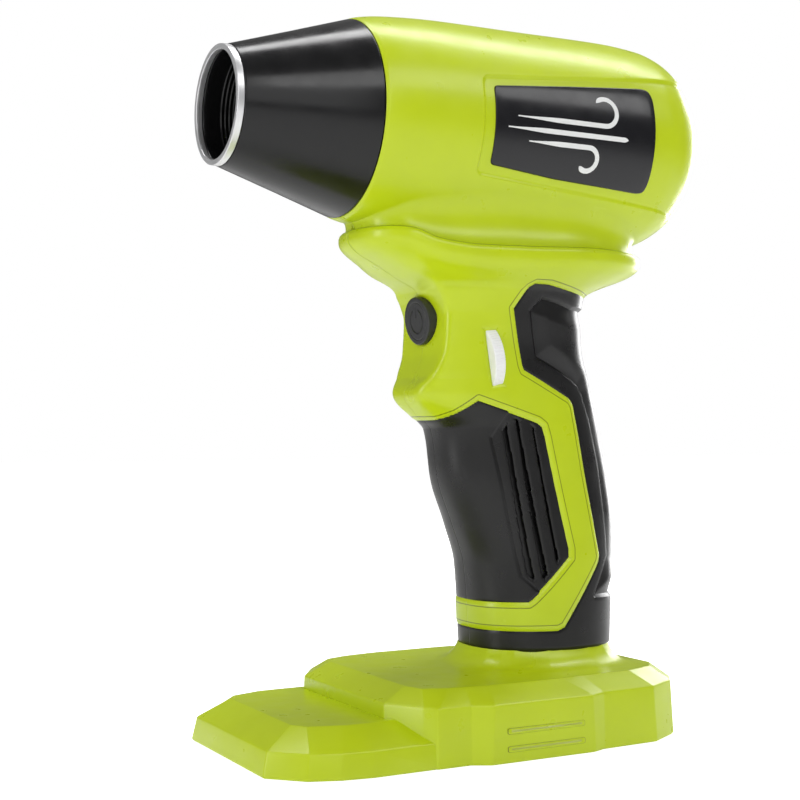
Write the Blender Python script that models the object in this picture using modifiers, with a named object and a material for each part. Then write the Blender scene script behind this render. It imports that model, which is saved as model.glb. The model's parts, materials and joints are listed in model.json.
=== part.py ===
"""Cordless turbofan leaf blower, as an assembly of separate solid pieces.

Frame: metres, +Z up, the nozzle points to -X, the left side is -Y. The origin is at the middle of the
bounding box's base, so the blower stands on Z = 0. Run with: blender --background --python part.py
"""

import math

import bmesh
import bpy
import numpy as np
from mathutils import Vector

MM = 0.001

# ---------------------------------------------------------------------------
# Driving dimensions
# ---------------------------------------------------------------------------
GAP = 0.3 * MM                  # clearance between two pieces that touch
SPLIT_GAP = 0.3 * MM            # clearance between the left and right mouldings
RUNNING = 0.09 * MM             # radial clearance of the shaft in its bearings

CONE_LENGTH = 36.9 * MM         # nozzle cone, from the mouth to the barrel joint
BARREL_LENGTH = 106.6 * MM      # barrel, from the cone joint to the intake
MOUTH_RADIUS = 16.0 * MM
MOUTH_BORE = 13.6 * MM
JOINT_RADIUS = 27.5 * MM        # cone and barrel where they meet
BARREL_RADIUS = 31.3 * MM
INTAKE_RADIUS = 23.0 * MM       # outer edge of the intake grille's opening
BARREL_WALL = 2.6 * MM
CONE_WALL = 2.4 * MM

FOOT_HEIGHT = 18.9 * MM         # deck of the battery foot
TONGUE_HEIGHT = 11.5 * MM       # low front step of the battery foot
FOOT_WALL = 2.6 * MM
COVE_HEIGHT = 5.4 * MM          # flare between the deck and the handle's collar
HANDLE_HEIGHT = 113.7 * MM      # collar to the seam under the barrel
SADDLE_HEIGHT = 34.4 * MM       # seam to the barrel's axis
HANDLE_SETBACK = 65.0 * MM      # cone joint back to the middle of the handle's collar
HANDLE_WALL = 3.0 * MM
GRIP_THICKNESS = 1.3 * MM       # soft grip skins let into the handle

BUTTON_RADIUS = 6.2 * MM
BUTTON_STANDING = 2.8 * MM      # button face ahead of the finger face
BUTTON_TRAVEL = 1.5 * MM
BUTTON_TILT = math.radians(8)
WHEEL_RADIUS = 11.4 * MM
WHEEL_WIDTH = 3.4 * MM
WHEEL_STANDING = 2.8 * MM       # wheel rim proud of the handle's side
WHEEL_TILT = math.radians(9)

FAN_TIP_GAP = 0.6 * MM
DUCT_WALL = 2.0 * MM
DUCT_LENGTH = 58.0 * MM
DUCT_SETBACK = 86.6 * MM        # cone joint back to the duct's rear end
GASKET_THICKNESS = 2.4 * MM
FAN_LENGTH = 10.0 * MM
FAN_BLADES = 9
FAN_HUB_RADIUS = 9.5 * MM
VANES = 7
SHAFT_RADIUS = 1.5 * MM
CAN_RADIUS = 11.3 * MM
CAN_LENGTH = 20.0 * MM
BEARING_RADIUS = 4.0 * MM
BEARING_WIDTH = 2.5 * MM
GRILLE_THICKNESS = 2.0 * MM
FILTER_THICKNESS = 1.5 * MM
INTAKE_SLOTS = 16

GUIDE_TOP = 13.4 * MM           # top of the battery rails' plate
GUIDE_PLATE = 2.2 * MM
GUIDE_HALF = 28.0 * MM
GUIDE_RAIL = 2.6 * MM
GUIDE_LIP = 4.4 * MM
GUIDE_FOOT_Z = 1.5 * MM
TERMINAL_HEIGHT = 6.5 * MM

SCREW_RADIUS = 1.25 * MM
SCREW_HEAD_RADIUS = 2.1 * MM
SCREW_HEAD_HEIGHT = 1.6 * MM
BOSS_WALL = 0.9 * MM

LENGTH = CONE_LENGTH + BARREL_LENGTH
MOUTH_X = -LENGTH / 2
JOINT_X = MOUTH_X + CONE_LENGTH
REAR_X = MOUTH_X + LENGTH
COLLAR_Z = FOOT_HEIGHT + COVE_HEIGHT
SEAM_Z = COLLAR_Z + HANDLE_HEIGHT
AXIS_Z = SEAM_Z + SADDLE_HEIGHT
COLLAR_X = JOINT_X + HANDLE_SETBACK
BARREL_BORE = BARREL_RADIUS - BARREL_WALL
DUCT_RADIUS = BARREL_BORE - 2 * GAP - GASKET_THICKNESS
DUCT_BORE = DUCT_RADIUS - DUCT_WALL
BOSS_RADIUS = SCREW_HEAD_RADIUS + GAP + BOSS_WALL
DUCT_REAR = JOINT_X + DUCT_SETBACK
DUCT_FRONT = DUCT_REAR - DUCT_LENGTH
FAN_REAR = DUCT_REAR - 6.0 * MM
FAN_FRONT = FAN_REAR - FAN_LENGTH
CAN_REAR = FAN_FRONT - 2.5 * MM
CAN_FRONT = CAN_REAR - CAN_LENGTH
HUB_RADIUS = CAN_RADIUS + GAP + 1.3 * MM
WIRE_EXIT_X = CAN_FRONT + 2.2 * MM
GUIDE_FRONT_X = COLLAR_X - 53.0 * MM
GUIDE_REAR_X = COLLAR_X + 24.0 * MM
TERMINAL_TOP = GUIDE_TOP - GUIDE_PLATE - GAP
BUTTON_SEAT = Vector((COLLAR_X - 38.1 * MM, 0.0, COLLAR_Z + 0.815 * HANDLE_HEIGHT))
WHEEL_MIDDLE = Vector((COLLAR_X - 24.7 * MM, WHEEL_RADIUS - WHEEL_STANDING - 16.3 * MM,
                       COLLAR_Z + 0.725 * HANDLE_HEIGHT))

# Handle stations: share of the handle's height, front and back from the collar's middle, half width
# (mm), and how square the front half of the section is (2 is an ellipse, 4 is a flat finger face).
HANDLE_STATIONS = (
    (0.000, -24.1, 24.1, 19.2, 2.3), (0.103, -24.4, 24.3, 18.7, 2.3), (0.208, -25.7, 24.7, 17.8, 2.3),
    (0.314, -29.3, 24.9, 17.1, 2.3), (0.420, -33.0, 23.7, 16.6, 2.3), (0.525, -35.5, 21.0, 16.3, 2.3),
    (0.573, -38.3, 19.8, 16.2, 2.3), (0.595, -42.9, 19.4, 16.2, 2.3), (0.635, -45.5, 18.5, 16.2, 2.5),
    (0.675, -41.9, 17.1, 16.2, 3.2), (0.719, -39.0, 15.4, 16.3, 3.8), (0.771, -37.8, 13.1, 16.6, 4.0),
    (0.824, -38.2, 12.7, 17.2, 4.0), (0.868, -39.9, 13.9, 18.2, 3.8), (0.903, -43.3, 17.0, 19.3, 3.4),
    (0.939, -50.4, 23.1, 21.0, 2.9), (0.972, -58.5, 29.3, 22.5, 2.5), (1.000, -62.7, 34.1, 23.3, 2.3),
)
# Saddle above the seam: height above it, front, back and half width (mm), up into the barrel.
SADDLE_STATIONS = (
    (0.3, -62.8, 34.3, 23.3), (3.0, -64.2, 35.4, 21.0), (6.5, -64.4, 35.6, 18.2), (11.0, -64.4, 35.6, 17.6),
)
# Side-view outlines (mm behind the collar's middle, share of the handle's height).
FRONT_GRIP = ((-60, 0.583), (-37.8, 0.577), (-34.5, 0.591), (-29.2, 0.622), (-10.3, 0.568),
              (-8.4, 0.556), (-7.4, 0.528), (-0.1, 0.247), (-0.2, 0.223), (-12.2, 0.121),
              (-13.3, 0.114), (-60, 0.118))
REAR_GRIP = ((60, 0.895), (8.1, 0.894), (-8.8, 0.916), (-13.7, 0.916), (-15.3, 0.907), (-19.7, 0.848),
             (-19.3, 0.831), (-16.1, 0.707), (-15.4, 0.693), (1.1, 0.622), (2.4, 0.606), (3.0, 0.572),
             (6.0, 0.429), (10.5, 0.224), (9.9, 0.209), (-3.3, 0.055), (-5.2, 0.048), (-60, 0.052),
             (-60, -0.1), (60, -0.1))
PALM_PAD = ((60, 0.852), (1.9, 0.857), (-4.4, 0.870), (-10.1, 0.877), (-13.6, 0.842), (-10.9, 0.728),
            (-1.0, 0.690), (5.4, 0.660), (7.4, 0.639), (10.1, 0.576), (13.3, 0.453), (15.2, 0.280),
            (15.3, 0.221), (8.4, 0.124), (60, 0.110))
# Battery foot, plan half outlines (mm behind the mouth plane of the standard cone, half width).
TONGUE_BASE = ((3.3, 25.2), (11.6, 33.6), (19.6, 36.6), (28.0, 37.9), (50.0, 37.9))
TONGUE_WAIST = ((4.6, 24.6), (12.4, 32.8), (20.2, 35.8), (28.0, 37.1), (50.0, 37.1))
TONGUE_TOP = ((12.9, 20.4), (15.5, 24.2), (24.5, 27.3), (30.0, 27.6), (50.0, 27.6))
DECK_BASE = ((37.0, 24.8), (43.3, 34.9), (46.0, 38.2), (55.8, 38.3), (60.7, 40.9), (93.2, 41.0),
             (97.5, 39.4), (115.9, 38.7), (126.5, 32.8), (131.0, 27.0))
DECK_WAIST = ((37.4, 24.4), (43.9, 34.1), (46.5, 37.2), (56.2, 37.5), (61.6, 40.4), (92.6, 40.6),
              (97.9, 38.4), (115.5, 37.6), (126.0, 32.1), (130.2, 26.5))
DECK_TOP = ((45.0, 22.2), (46.8, 28.1), (53.2, 30.5), (58.0, 31.4), (64.6, 32.2), (88.0, 32.6),
            (95.5, 31.6), (112.0, 31.0), (122.0, 27.5), (126.4, 22.0))
COLLAR_STATION = 101.9          # collar's middle in the foot outlines' numbers (mm)
TONGUE_WAIST_Z = 6.5 * MM
DECK_WAIST_Z = 15.2 * MM

# Handle screws: mm behind the collar's middle, share of the handle's height.
HANDLE_SCREWS = ((-30.0, 0.915), (6.5, 0.944), (-4.9, 0.640), (-13.0, 0.083))
BARREL_SCREWS = (-52.0, 27.0)
BARREL_SCREW_RISE = 3.4 * MM
SCREW_SEAT_Y = 6.0 * MM
SCREW_TIP_Y = -9.0 * MM
FOOT_SCREWS = ((-50.0, -20.0), (-50.0, 20.0), (16.0, -20.0), (16.0, 20.0))

# ---------------------------------------------------------------------------
# Scene, collections and materials
# ---------------------------------------------------------------------------
for old in list(bpy.data.objects):
    bpy.data.objects.remove(old, do_unlink=True)

# The big mouldings meet cutters at shallow angles, where EXACT leaves open edges.
SHELL_SOLVER = "MANIFOLD"

PARTS = bpy.data.collections.new("Leaf blower")
CUTTERS = bpy.data.collections.new("Cutters")
bpy.context.scene.collection.children.link(PARTS)
bpy.context.scene.collection.children.link(CUTTERS)


def material(name, colour, roughness, metallic=0.0):
    """A Principled material of one plain colour."""
    result = bpy.data.materials.new(name)
    result.use_nodes = True
    shader = result.node_tree.nodes["Principled BSDF"]
    shader.inputs["Base Color"].default_value = (*colour, 1.0)
    shader.inputs["Roughness"].default_value = roughness
    shader.inputs["Metallic"].default_value = metallic
    return result


LIME = material("lime plastic", (0.49, 0.62, 0.01), 0.35)
BLACK = material("black plastic", (0.012, 0.012, 0.013), 0.3)
GRIP = material("soft grip", (0.03, 0.03, 0.032), 0.6)
PLATE = material("plate", (0.015, 0.015, 0.018), 0.35)
SILVER = material("silver ring", (0.62, 0.62, 0.63), 0.3, 1.0)
WHITE = material("white plastic", (0.85, 0.85, 0.86), 0.35)
STEEL = material("steel", (0.5, 0.5, 0.52), 0.3, 1.0)
BRASS = material("brass", (0.78, 0.57, 0.22), 0.3, 1.0)
ALUMINIUM = material("aluminium", (0.75, 0.76, 0.78), 0.35, 1.0)
COPPER = material("copper winding", (0.72, 0.3, 0.12), 0.35, 1.0)
BOARD = material("circuit board", (0.02, 0.18, 0.07), 0.45)
FOAM = material("filter mesh", (0.05, 0.05, 0.05), 0.9)
RED = material("red insulation", (0.6, 0.02, 0.02), 0.4)
GREY = material("grey plastic", (0.2, 0.2, 0.21), 0.5)
RUBBER = material("rubber", (0.02, 0.02, 0.02), 0.8)


# ---------------------------------------------------------------------------
# Modelling helpers. A shape made without a material is a cutter.
# ---------------------------------------------------------------------------
def place(name, mesh, finish=None):
    """Make an object of a mesh, as a part with a finish or as a cutter without one."""
    thing = bpy.data.objects.new(name, mesh)
    if finish is None:
        CUTTERS.objects.link(thing)
        thing.hide_render = True
        thing.display_type = "WIRE"
    else:
        PARTS.objects.link(thing)
        mesh.materials.clear()
        mesh.materials.append(finish)
    return thing


def mesh_of(name, shape):
    """Turn a bmesh into a mesh whose faces point outwards."""
    bmesh.ops.recalc_face_normals(shape, faces=shape.faces)
    mesh = bpy.data.meshes.new(name)
    shape.to_mesh(mesh)
    shape.free()
    return mesh


def settle(thing):
    """Apply the modifiers of an object to its mesh."""
    view = bpy.context.evaluated_depsgraph_get()
    mesh = bpy.data.meshes.new_from_object(thing.evaluated_get(view))
    thing.modifiers.clear()
    thing.data = mesh
    return thing


def boolean(target, tool, operation, solver="EXACT"):
    """Cut, join or intersect a target with a tool."""
    modifier = target.modifiers.new(operation.title(), "BOOLEAN")
    modifier.operation = operation
    modifier.solver = solver
    modifier.object = tool
    return settle(target)


def smooth(thing, degrees=35):
    """Shade a round piece smooth, with its true edges kept sharp."""
    thing.data.shade_smooth()
    thing.data.set_sharp_from_angle(angle=math.radians(degrees))
    return thing


def box(name, low, high, finish=None):
    """A box between two corners."""
    shape = bmesh.new()
    bmesh.ops.create_cube(shape, size=1.0)
    size = Vector(high) - Vector(low)
    bmesh.ops.scale(shape, vec=size, verts=shape.verts)
    bmesh.ops.translate(shape, vec=Vector(low) + size / 2, verts=shape.verts)
    return place(name, mesh_of(name, shape), finish)


def rod(name, start, end, radius, finish=None, sides=16):
    """A cylinder from one point to another."""
    shape = bmesh.new()
    run = Vector(end) - Vector(start)
    bmesh.ops.create_cone(shape, cap_ends=True, segments=sides, radius1=radius, radius2=radius,
                          depth=run.length)
    bmesh.ops.rotate(shape, matrix=run.to_track_quat("Z", "Y").to_matrix(), verts=shape.verts)
    bmesh.ops.translate(shape, vec=Vector(start) + run / 2, verts=shape.verts)
    thing = place(name, mesh_of(name, shape), finish)
    return smooth(thing)


def turned(name, profile, finish=None, steps=24, centre=None, turn=(0.0, math.pi / 2, 0.0)):
    """A profile of (distance along the axis, radius) turned about the axis, which is the barrel's
    unless a centre and a turn say otherwise. The profile runs down the outer side first."""
    closed = profile[0][1] > 0 or profile[-1][1] > 0
    count = len(profile)
    edges = [(i, i + 1) for i in range(count - 1)] + ([(count - 1, 0)] if closed else [])
    mesh = bpy.data.meshes.new(name)
    mesh.from_pydata([(radius, 0.0, along) for along, radius in profile], edges, [])
    thing = place(name, mesh, finish)
    thing.location = (0.0, 0.0, AXIS_Z) if centre is None else centre
    thing.rotation_euler = turn
    screw = thing.modifiers.new("Turn", "SCREW")
    screw.angle = 2 * math.pi
    screw.steps = steps
    screw.render_steps = steps
    screw.use_merge_vertices = True
    screw.merge_threshold = 0.00001
    bpy.context.view_layer.update()
    return smooth(settle(thing))


def loft(name, rings, finish=None):
    """A closed body through rings of the same number of points, capped at both ends."""
    shape = bmesh.new()
    rows = [[shape.verts.new(point) for point in ring] for ring in rings]
    for lower, upper in zip(rows, rows[1:]):
        for i in range(len(lower)):
            shape.faces.new((lower[i - 1], lower[i], upper[i], upper[i - 1]))
    shape.faces.new(rows[0])
    shape.faces.new(rows[-1])
    return place(name, mesh_of(name, shape), finish)


def prism(name, outline, along, low, high, finish=None):
    """A flat outline extruded along an axis: (x, z) along Y, or (y, z) along X."""
    shape = bmesh.new()
    points = [(a, low, b) if along == "Y" else (low, a, b) for a, b in outline]
    face = shape.faces.new([shape.verts.new(point) for point in points])
    moved = bmesh.ops.extrude_face_region(shape, geom=[face])["geom"]
    lifted = [item for item in moved if isinstance(item, bmesh.types.BMVert)]
    step = (0.0, high - low, 0.0) if along == "Y" else (high - low, 0.0, 0.0)
    bmesh.ops.translate(shape, vec=step, verts=lifted)
    return place(name, mesh_of(name, shape), finish)


def grouped(name, things):
    """One cutter made of several separate solids, which are removed."""
    shape = bmesh.new()
    for thing in things:
        copy = thing.data.copy()
        copy.transform(thing.matrix_world)
        shape.from_mesh(copy)
        bpy.data.meshes.remove(copy)
        bpy.data.objects.remove(thing, do_unlink=True)
    return place(name, mesh_of(name, shape))


def tube(name, points, radius, finish):
    """A wire or cord along points, eight sided, with its ends capped."""
    curve = bpy.data.curves.new(name, "CURVE")
    curve.dimensions = "3D"
    curve.bevel_depth = radius
    curve.bevel_resolution = 2
    curve.use_fill_caps = True
    line = curve.splines.new("POLY")
    line.points.add(len(points) - 1)
    for point, place_at in zip(line.points, points):
        point.co = (*place_at, 1.0)
    thing = bpy.data.objects.new(name, curve)
    PARTS.objects.link(thing)
    curve.materials.append(finish)
    return thing


def offset(outline, distance):
    """Move every side of an outline out by a distance, whichever way it runs."""
    points = np.array(outline, dtype=float)
    ahead = np.roll(points, -1, axis=0)
    sides = ahead - points
    sides /= np.linalg.norm(sides, axis=1)[:, None]
    area = np.sum(points[:, 0] * ahead[:, 1] - ahead[:, 0] * points[:, 1])
    normals = np.stack([sides[:, 1], -sides[:, 0]], axis=1) * np.sign(area)
    before = np.roll(normals, 1, axis=0)
    bend = 1.0 + np.sum(normals * before, axis=1)
    return points + distance * (normals + before) / bend[:, None]


def copied(name, source, finish):
    """A copy of a cutter, kept as a part."""
    thing = place(name, source.data.copy(), finish)
    thing.matrix_world = source.matrix_world
    return thing


REACH = 2 * max(LENGTH, AXIS_Z)
LEFT_SPACE = box("left space", (-REACH, -REACH, -REACH), (REACH, -SPLIT_GAP / 2, REACH))
RIGHT_SPACE = box("right space", (-REACH, SPLIT_GAP / 2, -REACH), (REACH, REACH, REACH))
HALVES = {"left": LEFT_SPACE, "right": RIGHT_SPACE}


def halves(source, stem, finish, solver="EXACT"):
    """Split a whole moulding into its left and right parts."""
    result = {}
    for side, space in HALVES.items():
        part = copied(f"{stem}_{side}", source, finish)
        boolean(part, space, "INTERSECT", solver)
        result[side] = smooth(part)
    return result


# ---------------------------------------------------------------------------
# Barrel, cone, mouth ring and plates
# ---------------------------------------------------------------------------
def barrel_profile(grow):
    """The barrel's outer profile, rear to front, moved out by grow."""
    shape = ((0.0, INTAKE_RADIUS), (1.6 * MM, INTAKE_RADIUS + 2.6 * MM), (4.6 * MM, BARREL_RADIUS - 3.6 * MM),
             (8.6 * MM, BARREL_RADIUS - 1.8 * MM), (14.0 * MM, BARREL_RADIUS - 0.6 * MM))
    rear = [(REAR_X - back, radius + grow) for back, radius in shape]
    front = [(REAR_X - 25.5 * MM, BARREL_RADIUS + grow), (JOINT_X + 50 * MM, BARREL_RADIUS - 0.6 * MM + grow),
             (JOINT_X + 25 * MM, BARREL_RADIUS - 1.1 * MM + grow),
             (JOINT_X + 12 * MM, (BARREL_RADIUS + JOINT_RADIUS) / 2 + grow),
             (JOINT_X, JOINT_RADIUS + grow)]
    return rear + front


def saddle_ring(rise, front, back, half_width, inset, count=24):
    """One ring of the saddle, an ellipse-like oval at a height above the seam."""
    angles = np.arange(count) * 2 * math.pi / count
    middle = COLLAR_X + (front + back) / 2 * MM
    reach_x = (back - front) / 2 * MM - inset
    reach_y = half_width * MM - inset
    x = middle + reach_x * np.sign(np.cos(angles)) * np.abs(np.cos(angles)) ** 0.87
    y = reach_y * np.sign(np.sin(angles)) * np.abs(np.sin(angles)) ** 0.87
    return np.stack([x, y, np.full(count, SEAM_Z + rise)], axis=1)


def make_barrel():
    """Two green mouldings: the turned barrel with the saddle that sits on the handle."""
    outer = barrel_profile(0.0)
    rear_bore = INTAKE_RADIUS - 1.0 * MM
    front_bore = JOINT_RADIUS - BARREL_WALL
    inner = [(JOINT_X, front_bore), (JOINT_X + 6 * MM, front_bore),
             (JOINT_X + 12 * MM, BARREL_BORE - 1.5 * MM),
             (JOINT_X + 20 * MM, BARREL_BORE - 1.2 * MM), (DUCT_FRONT - 2 * MM, BARREL_BORE - 1.2 * MM),
             (DUCT_FRONT - 1 * MM, BARREL_BORE), (DUCT_REAR + 1 * MM, BARREL_BORE),
             (REAR_X - 6 * MM, rear_bore), (REAR_X, rear_bore)]
    whole = turned("whole barrel", [(REAR_X, 0.0)] + outer + [(JOINT_X, 0.0)])
    saddle = loft("saddle", [saddle_ring(r * MM, f, b, w, 0.0) for r, f, b, w in SADDLE_STATIONS])
    boolean(whole, saddle, "UNION", SHELL_SOLVER)
    core = [(REAR_X + 1 * MM, 0.0), (REAR_X + 1 * MM, rear_bore)] + inner[::-1][1:-1]
    core = turned("barrel core", core + [(JOINT_X - 1 * MM, front_bore), (JOINT_X - 1 * MM, 0.0)])
    boolean(whole, core, "DIFFERENCE", SHELL_SOLVER)
    inner_rings = [saddle_ring(r * MM, f, b, w, 2.5 * MM) for r, f, b, w in SADDLE_STATIONS]
    inner_rings[0][:, 2] -= 2 * MM
    inner_rings[-1][:, 2] += 2 * MM
    boolean(whole, loft("saddle hollow", inner_rings), "DIFFERENCE", SHELL_SOLVER)
    bosses = []
    for x, z in screw_places(BARREL_SCREWS):
        bosses.append(rod("barrel boss", (x, -20 * MM, z), (x, 20 * MM, z), BOSS_RADIUS))
    bosses = grouped("barrel bosses", bosses)
    limit = [saddle_ring(r * MM, f, b, w, 1.2 * MM) for r, f, b, w in SADDLE_STATIONS]
    limit[0][:, 2] += 0.5 * MM
    boolean(bosses, loft("barrel boss limit", limit), "INTERSECT", SHELL_SOLVER)
    boolean(whole, bosses, "UNION", SHELL_SOLVER)
    boolean(whole, screw_wells("barrel wells", screw_places(BARREL_SCREWS)), "DIFFERENCE", SHELL_SOLVER)
    boolean(whole, plate_solid("plate bed", GAP), "DIFFERENCE", SHELL_SOLVER)
    return halves(whole, "barrel_shell", LIME, SHELL_SOLVER)


def plate_solid(name, clearance):
    """The curved bed of both name plates: a ring in the barrel's skin, cut by the side-view outline."""
    depth = 0.9 * MM + clearance
    top = [(along, radius + 0.3 * MM + 4 * clearance) for along, radius in barrel_profile(0.0)]
    under = [(along, radius - depth) for along, radius in barrel_profile(0.0)][::-1]
    ring = turned(name, top[4:-2] + under[2:-4])
    front = JOINT_X + 31.5 * MM - clearance
    back = REAR_X - 22.0 * MM + clearance
    up = AXIS_Z + 9.5 * MM + clearance
    down = AXIS_Z - 15.5 * MM - clearance
    outline = ((front, down + 1 * MM), (front, up - 1 * MM), (front + 1 * MM, up), (back - 3 * MM, up),
               (back, up - 3 * MM), (back, down + 3 * MM), (back - 3 * MM, down), (front + 1 * MM, down))
    return boolean(ring, prism(name + " outline", outline, "Y", -REACH, REACH), "INTERSECT")


def make_plates():
    """Black name plates let into the barrel's sides."""
    halves(plate_solid("plates", 0.0), "name_plate", PLATE)


def make_cone():
    """The black nozzle cone, with a spigot in the barrel, and the silver ring at its mouth."""
    slope = (JOINT_RADIUS - MOUTH_RADIUS) / CONE_LENGTH
    rim = 1.2 * MM
    start = rim + GAP
    front_radius = MOUTH_RADIUS + slope * start
    spigot = JOINT_RADIUS - BARREL_WALL - GAP
    ring_outer = MOUTH_RADIUS - 1.0 * MM
    turned("nozzle_cone", [
        (JOINT_X + 5 * MM, spigot), (JOINT_X - GAP, spigot), (JOINT_X - GAP, JOINT_RADIUS),
        (MOUTH_X + start, front_radius), (MOUTH_X + start, ring_outer + GAP),
        (MOUTH_X + 5 * MM, ring_outer + GAP), (MOUTH_X + 5 * MM, MOUTH_BORE),
        (MOUTH_X + 9 * MM, MOUTH_BORE + 0.6 * MM), (JOINT_X + 5 * MM, spigot - CONE_WALL)], BLACK)
    turned("mouth_ring", [
        (MOUTH_X + rim, MOUTH_RADIUS), (MOUTH_X + 0.3 * MM, MOUTH_RADIUS), (MOUTH_X, MOUTH_RADIUS - 0.3 * MM),
        (MOUTH_X, MOUTH_BORE), (MOUTH_X + 5 * MM - GAP, MOUTH_BORE), (MOUTH_X + 5 * MM - GAP, ring_outer),
        (MOUTH_X + rim, ring_outer)], SILVER)


# ---------------------------------------------------------------------------
# Intake, duct, fan and motor, all on the barrel's axis
# ---------------------------------------------------------------------------
def star(radius_in, radius_out, blades, thickness, x, turn):
    """A ring in the YZ plane: a hub circle with straight blades standing on it."""
    points = []
    for k in range(blades):
        middle = 2 * math.pi * k / blades + turn
        for radius, side in ((radius_in, -1), (radius_out, -1), (radius_out, 1), (radius_in, 1)):
            angle = middle + side * thickness / (2 * radius)
            points.append((radius, angle))
        for share in (1 / 3, 2 / 3):
            step = 2 * math.pi / blades - thickness / radius_in
            points.append((radius_in, middle + thickness / (2 * radius_in) + share * step))
    return [(x, r * math.cos(a), AXIS_Z + r * math.sin(a)) for r, a in points]


def bladed(name, front, rear, radius_in, radius_out, blades, thickness, twist, finish, layers=5):
    """A hub with twisted blades, lofted through turned star sections."""
    rings = []
    for k in range(layers):
        share = k / (layers - 1)
        x = front + share * (rear - front)
        rings.append(star(radius_in, radius_out, blades, thickness, x, share * twist))
    return loft(name, rings, finish)


def drilled(thing, radius, front, rear, sides=24):
    """Bore a piece along the barrel's axis."""
    drill = rod(thing.name + " bore", (front - 1 * MM, 0, AXIS_Z), (rear + 1 * MM, 0, AXIS_Z), radius,
                sides=sides)
    return smooth(boolean(thing, drill, "DIFFERENCE"))


def make_intake():
    """Rear grille with radial slots, and the dust filter behind it."""
    edge = INTAKE_RADIUS - 1.0 * MM - GAP
    grille = turned("intake_grille", [
        (REAR_X, 0.0), (REAR_X - 0.6 * MM, edge - 3 * MM), (REAR_X - 0.6 * MM, edge),
        (REAR_X - 0.6 * MM - GRILLE_THICKNESS, edge), (REAR_X - 0.6 * MM - GRILLE_THICKNESS, 0.0)], BLACK)
    slots = []
    for k in range(INTAKE_SLOTS):
        slot = box("intake slot", (-5 * MM, -1.0 * MM, 6.5 * MM), (5 * MM, 1.0 * MM, edge - 2.2 * MM))
        slot.rotation_euler = (2 * math.pi * k / INTAKE_SLOTS, 0, 0)
        slot.location = (REAR_X, 0, AXIS_Z)
        slots.append(slot)
    bpy.context.view_layer.update()
    boolean(grille, grouped("intake slots", slots), "DIFFERENCE")
    rear = REAR_X - 0.6 * MM - GRILLE_THICKNESS - GAP
    turned("dust_filter", [(rear, 0.0), (rear, edge), (rear - FILTER_THICKNESS, edge),
                           (rear - FILTER_THICKNESS, 0.0)], FOAM, steps=32)


def make_duct():
    """The fan duct on two rubber gaskets, with a slot for the motor's wires."""
    duct = turned("fan_duct", [
        (DUCT_REAR, DUCT_RADIUS), (DUCT_FRONT, DUCT_RADIUS), (DUCT_FRONT, DUCT_BORE), (DUCT_REAR, DUCT_BORE)],
        GREY)
    low = AXIS_Z - DUCT_RADIUS - 1 * MM
    slot = box("wire slot", (WIRE_EXIT_X - 2 * MM, -6 * MM, low),
               (WIRE_EXIT_X + 2 * MM, 6 * MM, AXIS_Z - 15 * MM))
    smooth(boolean(duct, slot, "DIFFERENCE"))
    inner = DUCT_RADIUS + GAP
    outer = BARREL_BORE - GAP
    for end, start in (("front", DUCT_FRONT + 1 * MM), ("rear", DUCT_REAR - 5 * MM)):
        stop = start + 4 * MM
        turned(f"duct_gasket_{end}", [(stop, outer), (start, outer), (start, inner), (stop, inner)], RUBBER)


def make_fan():
    """What spins: impeller, spinner, shaft and rotor magnet."""
    impeller = bladed("impeller", FAN_FRONT, FAN_REAR, FAN_HUB_RADIUS, DUCT_BORE - FAN_TIP_GAP, FAN_BLADES,
                      1.3 * MM, math.radians(38), GREY)
    drilled(impeller, SHAFT_RADIUS + GAP, FAN_FRONT, FAN_REAR)
    nose = FAN_HUB_RADIUS
    start = FAN_REAR + GAP
    arc = [(start + nose * math.sin(a), nose * math.cos(a)) for a in np.linspace(math.pi / 2, 0, 7)]
    arc[0] = (start + nose, 0.0)
    turned("spinner", arc + [(start, 0.0)], GREY, steps=24)
    rod("motor_shaft", (CAN_FRONT + 1 * MM, 0, AXIS_Z), (FAN_REAR - 0.5 * MM, 0, AXIS_Z), SHAFT_RADIUS, STEEL)
    magnet_front = CAN_FRONT + 1.5 * MM + BEARING_WIDTH
    magnet_rear = CAN_REAR - 1.5 * MM - BEARING_WIDTH
    inner = SHAFT_RADIUS + GAP
    turned("rotor_magnet", [(magnet_rear, 6.0 * MM), (magnet_front, 6.0 * MM), (magnet_front, inner),
                            (magnet_rear, inner)], STEEL, steps=24)


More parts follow.
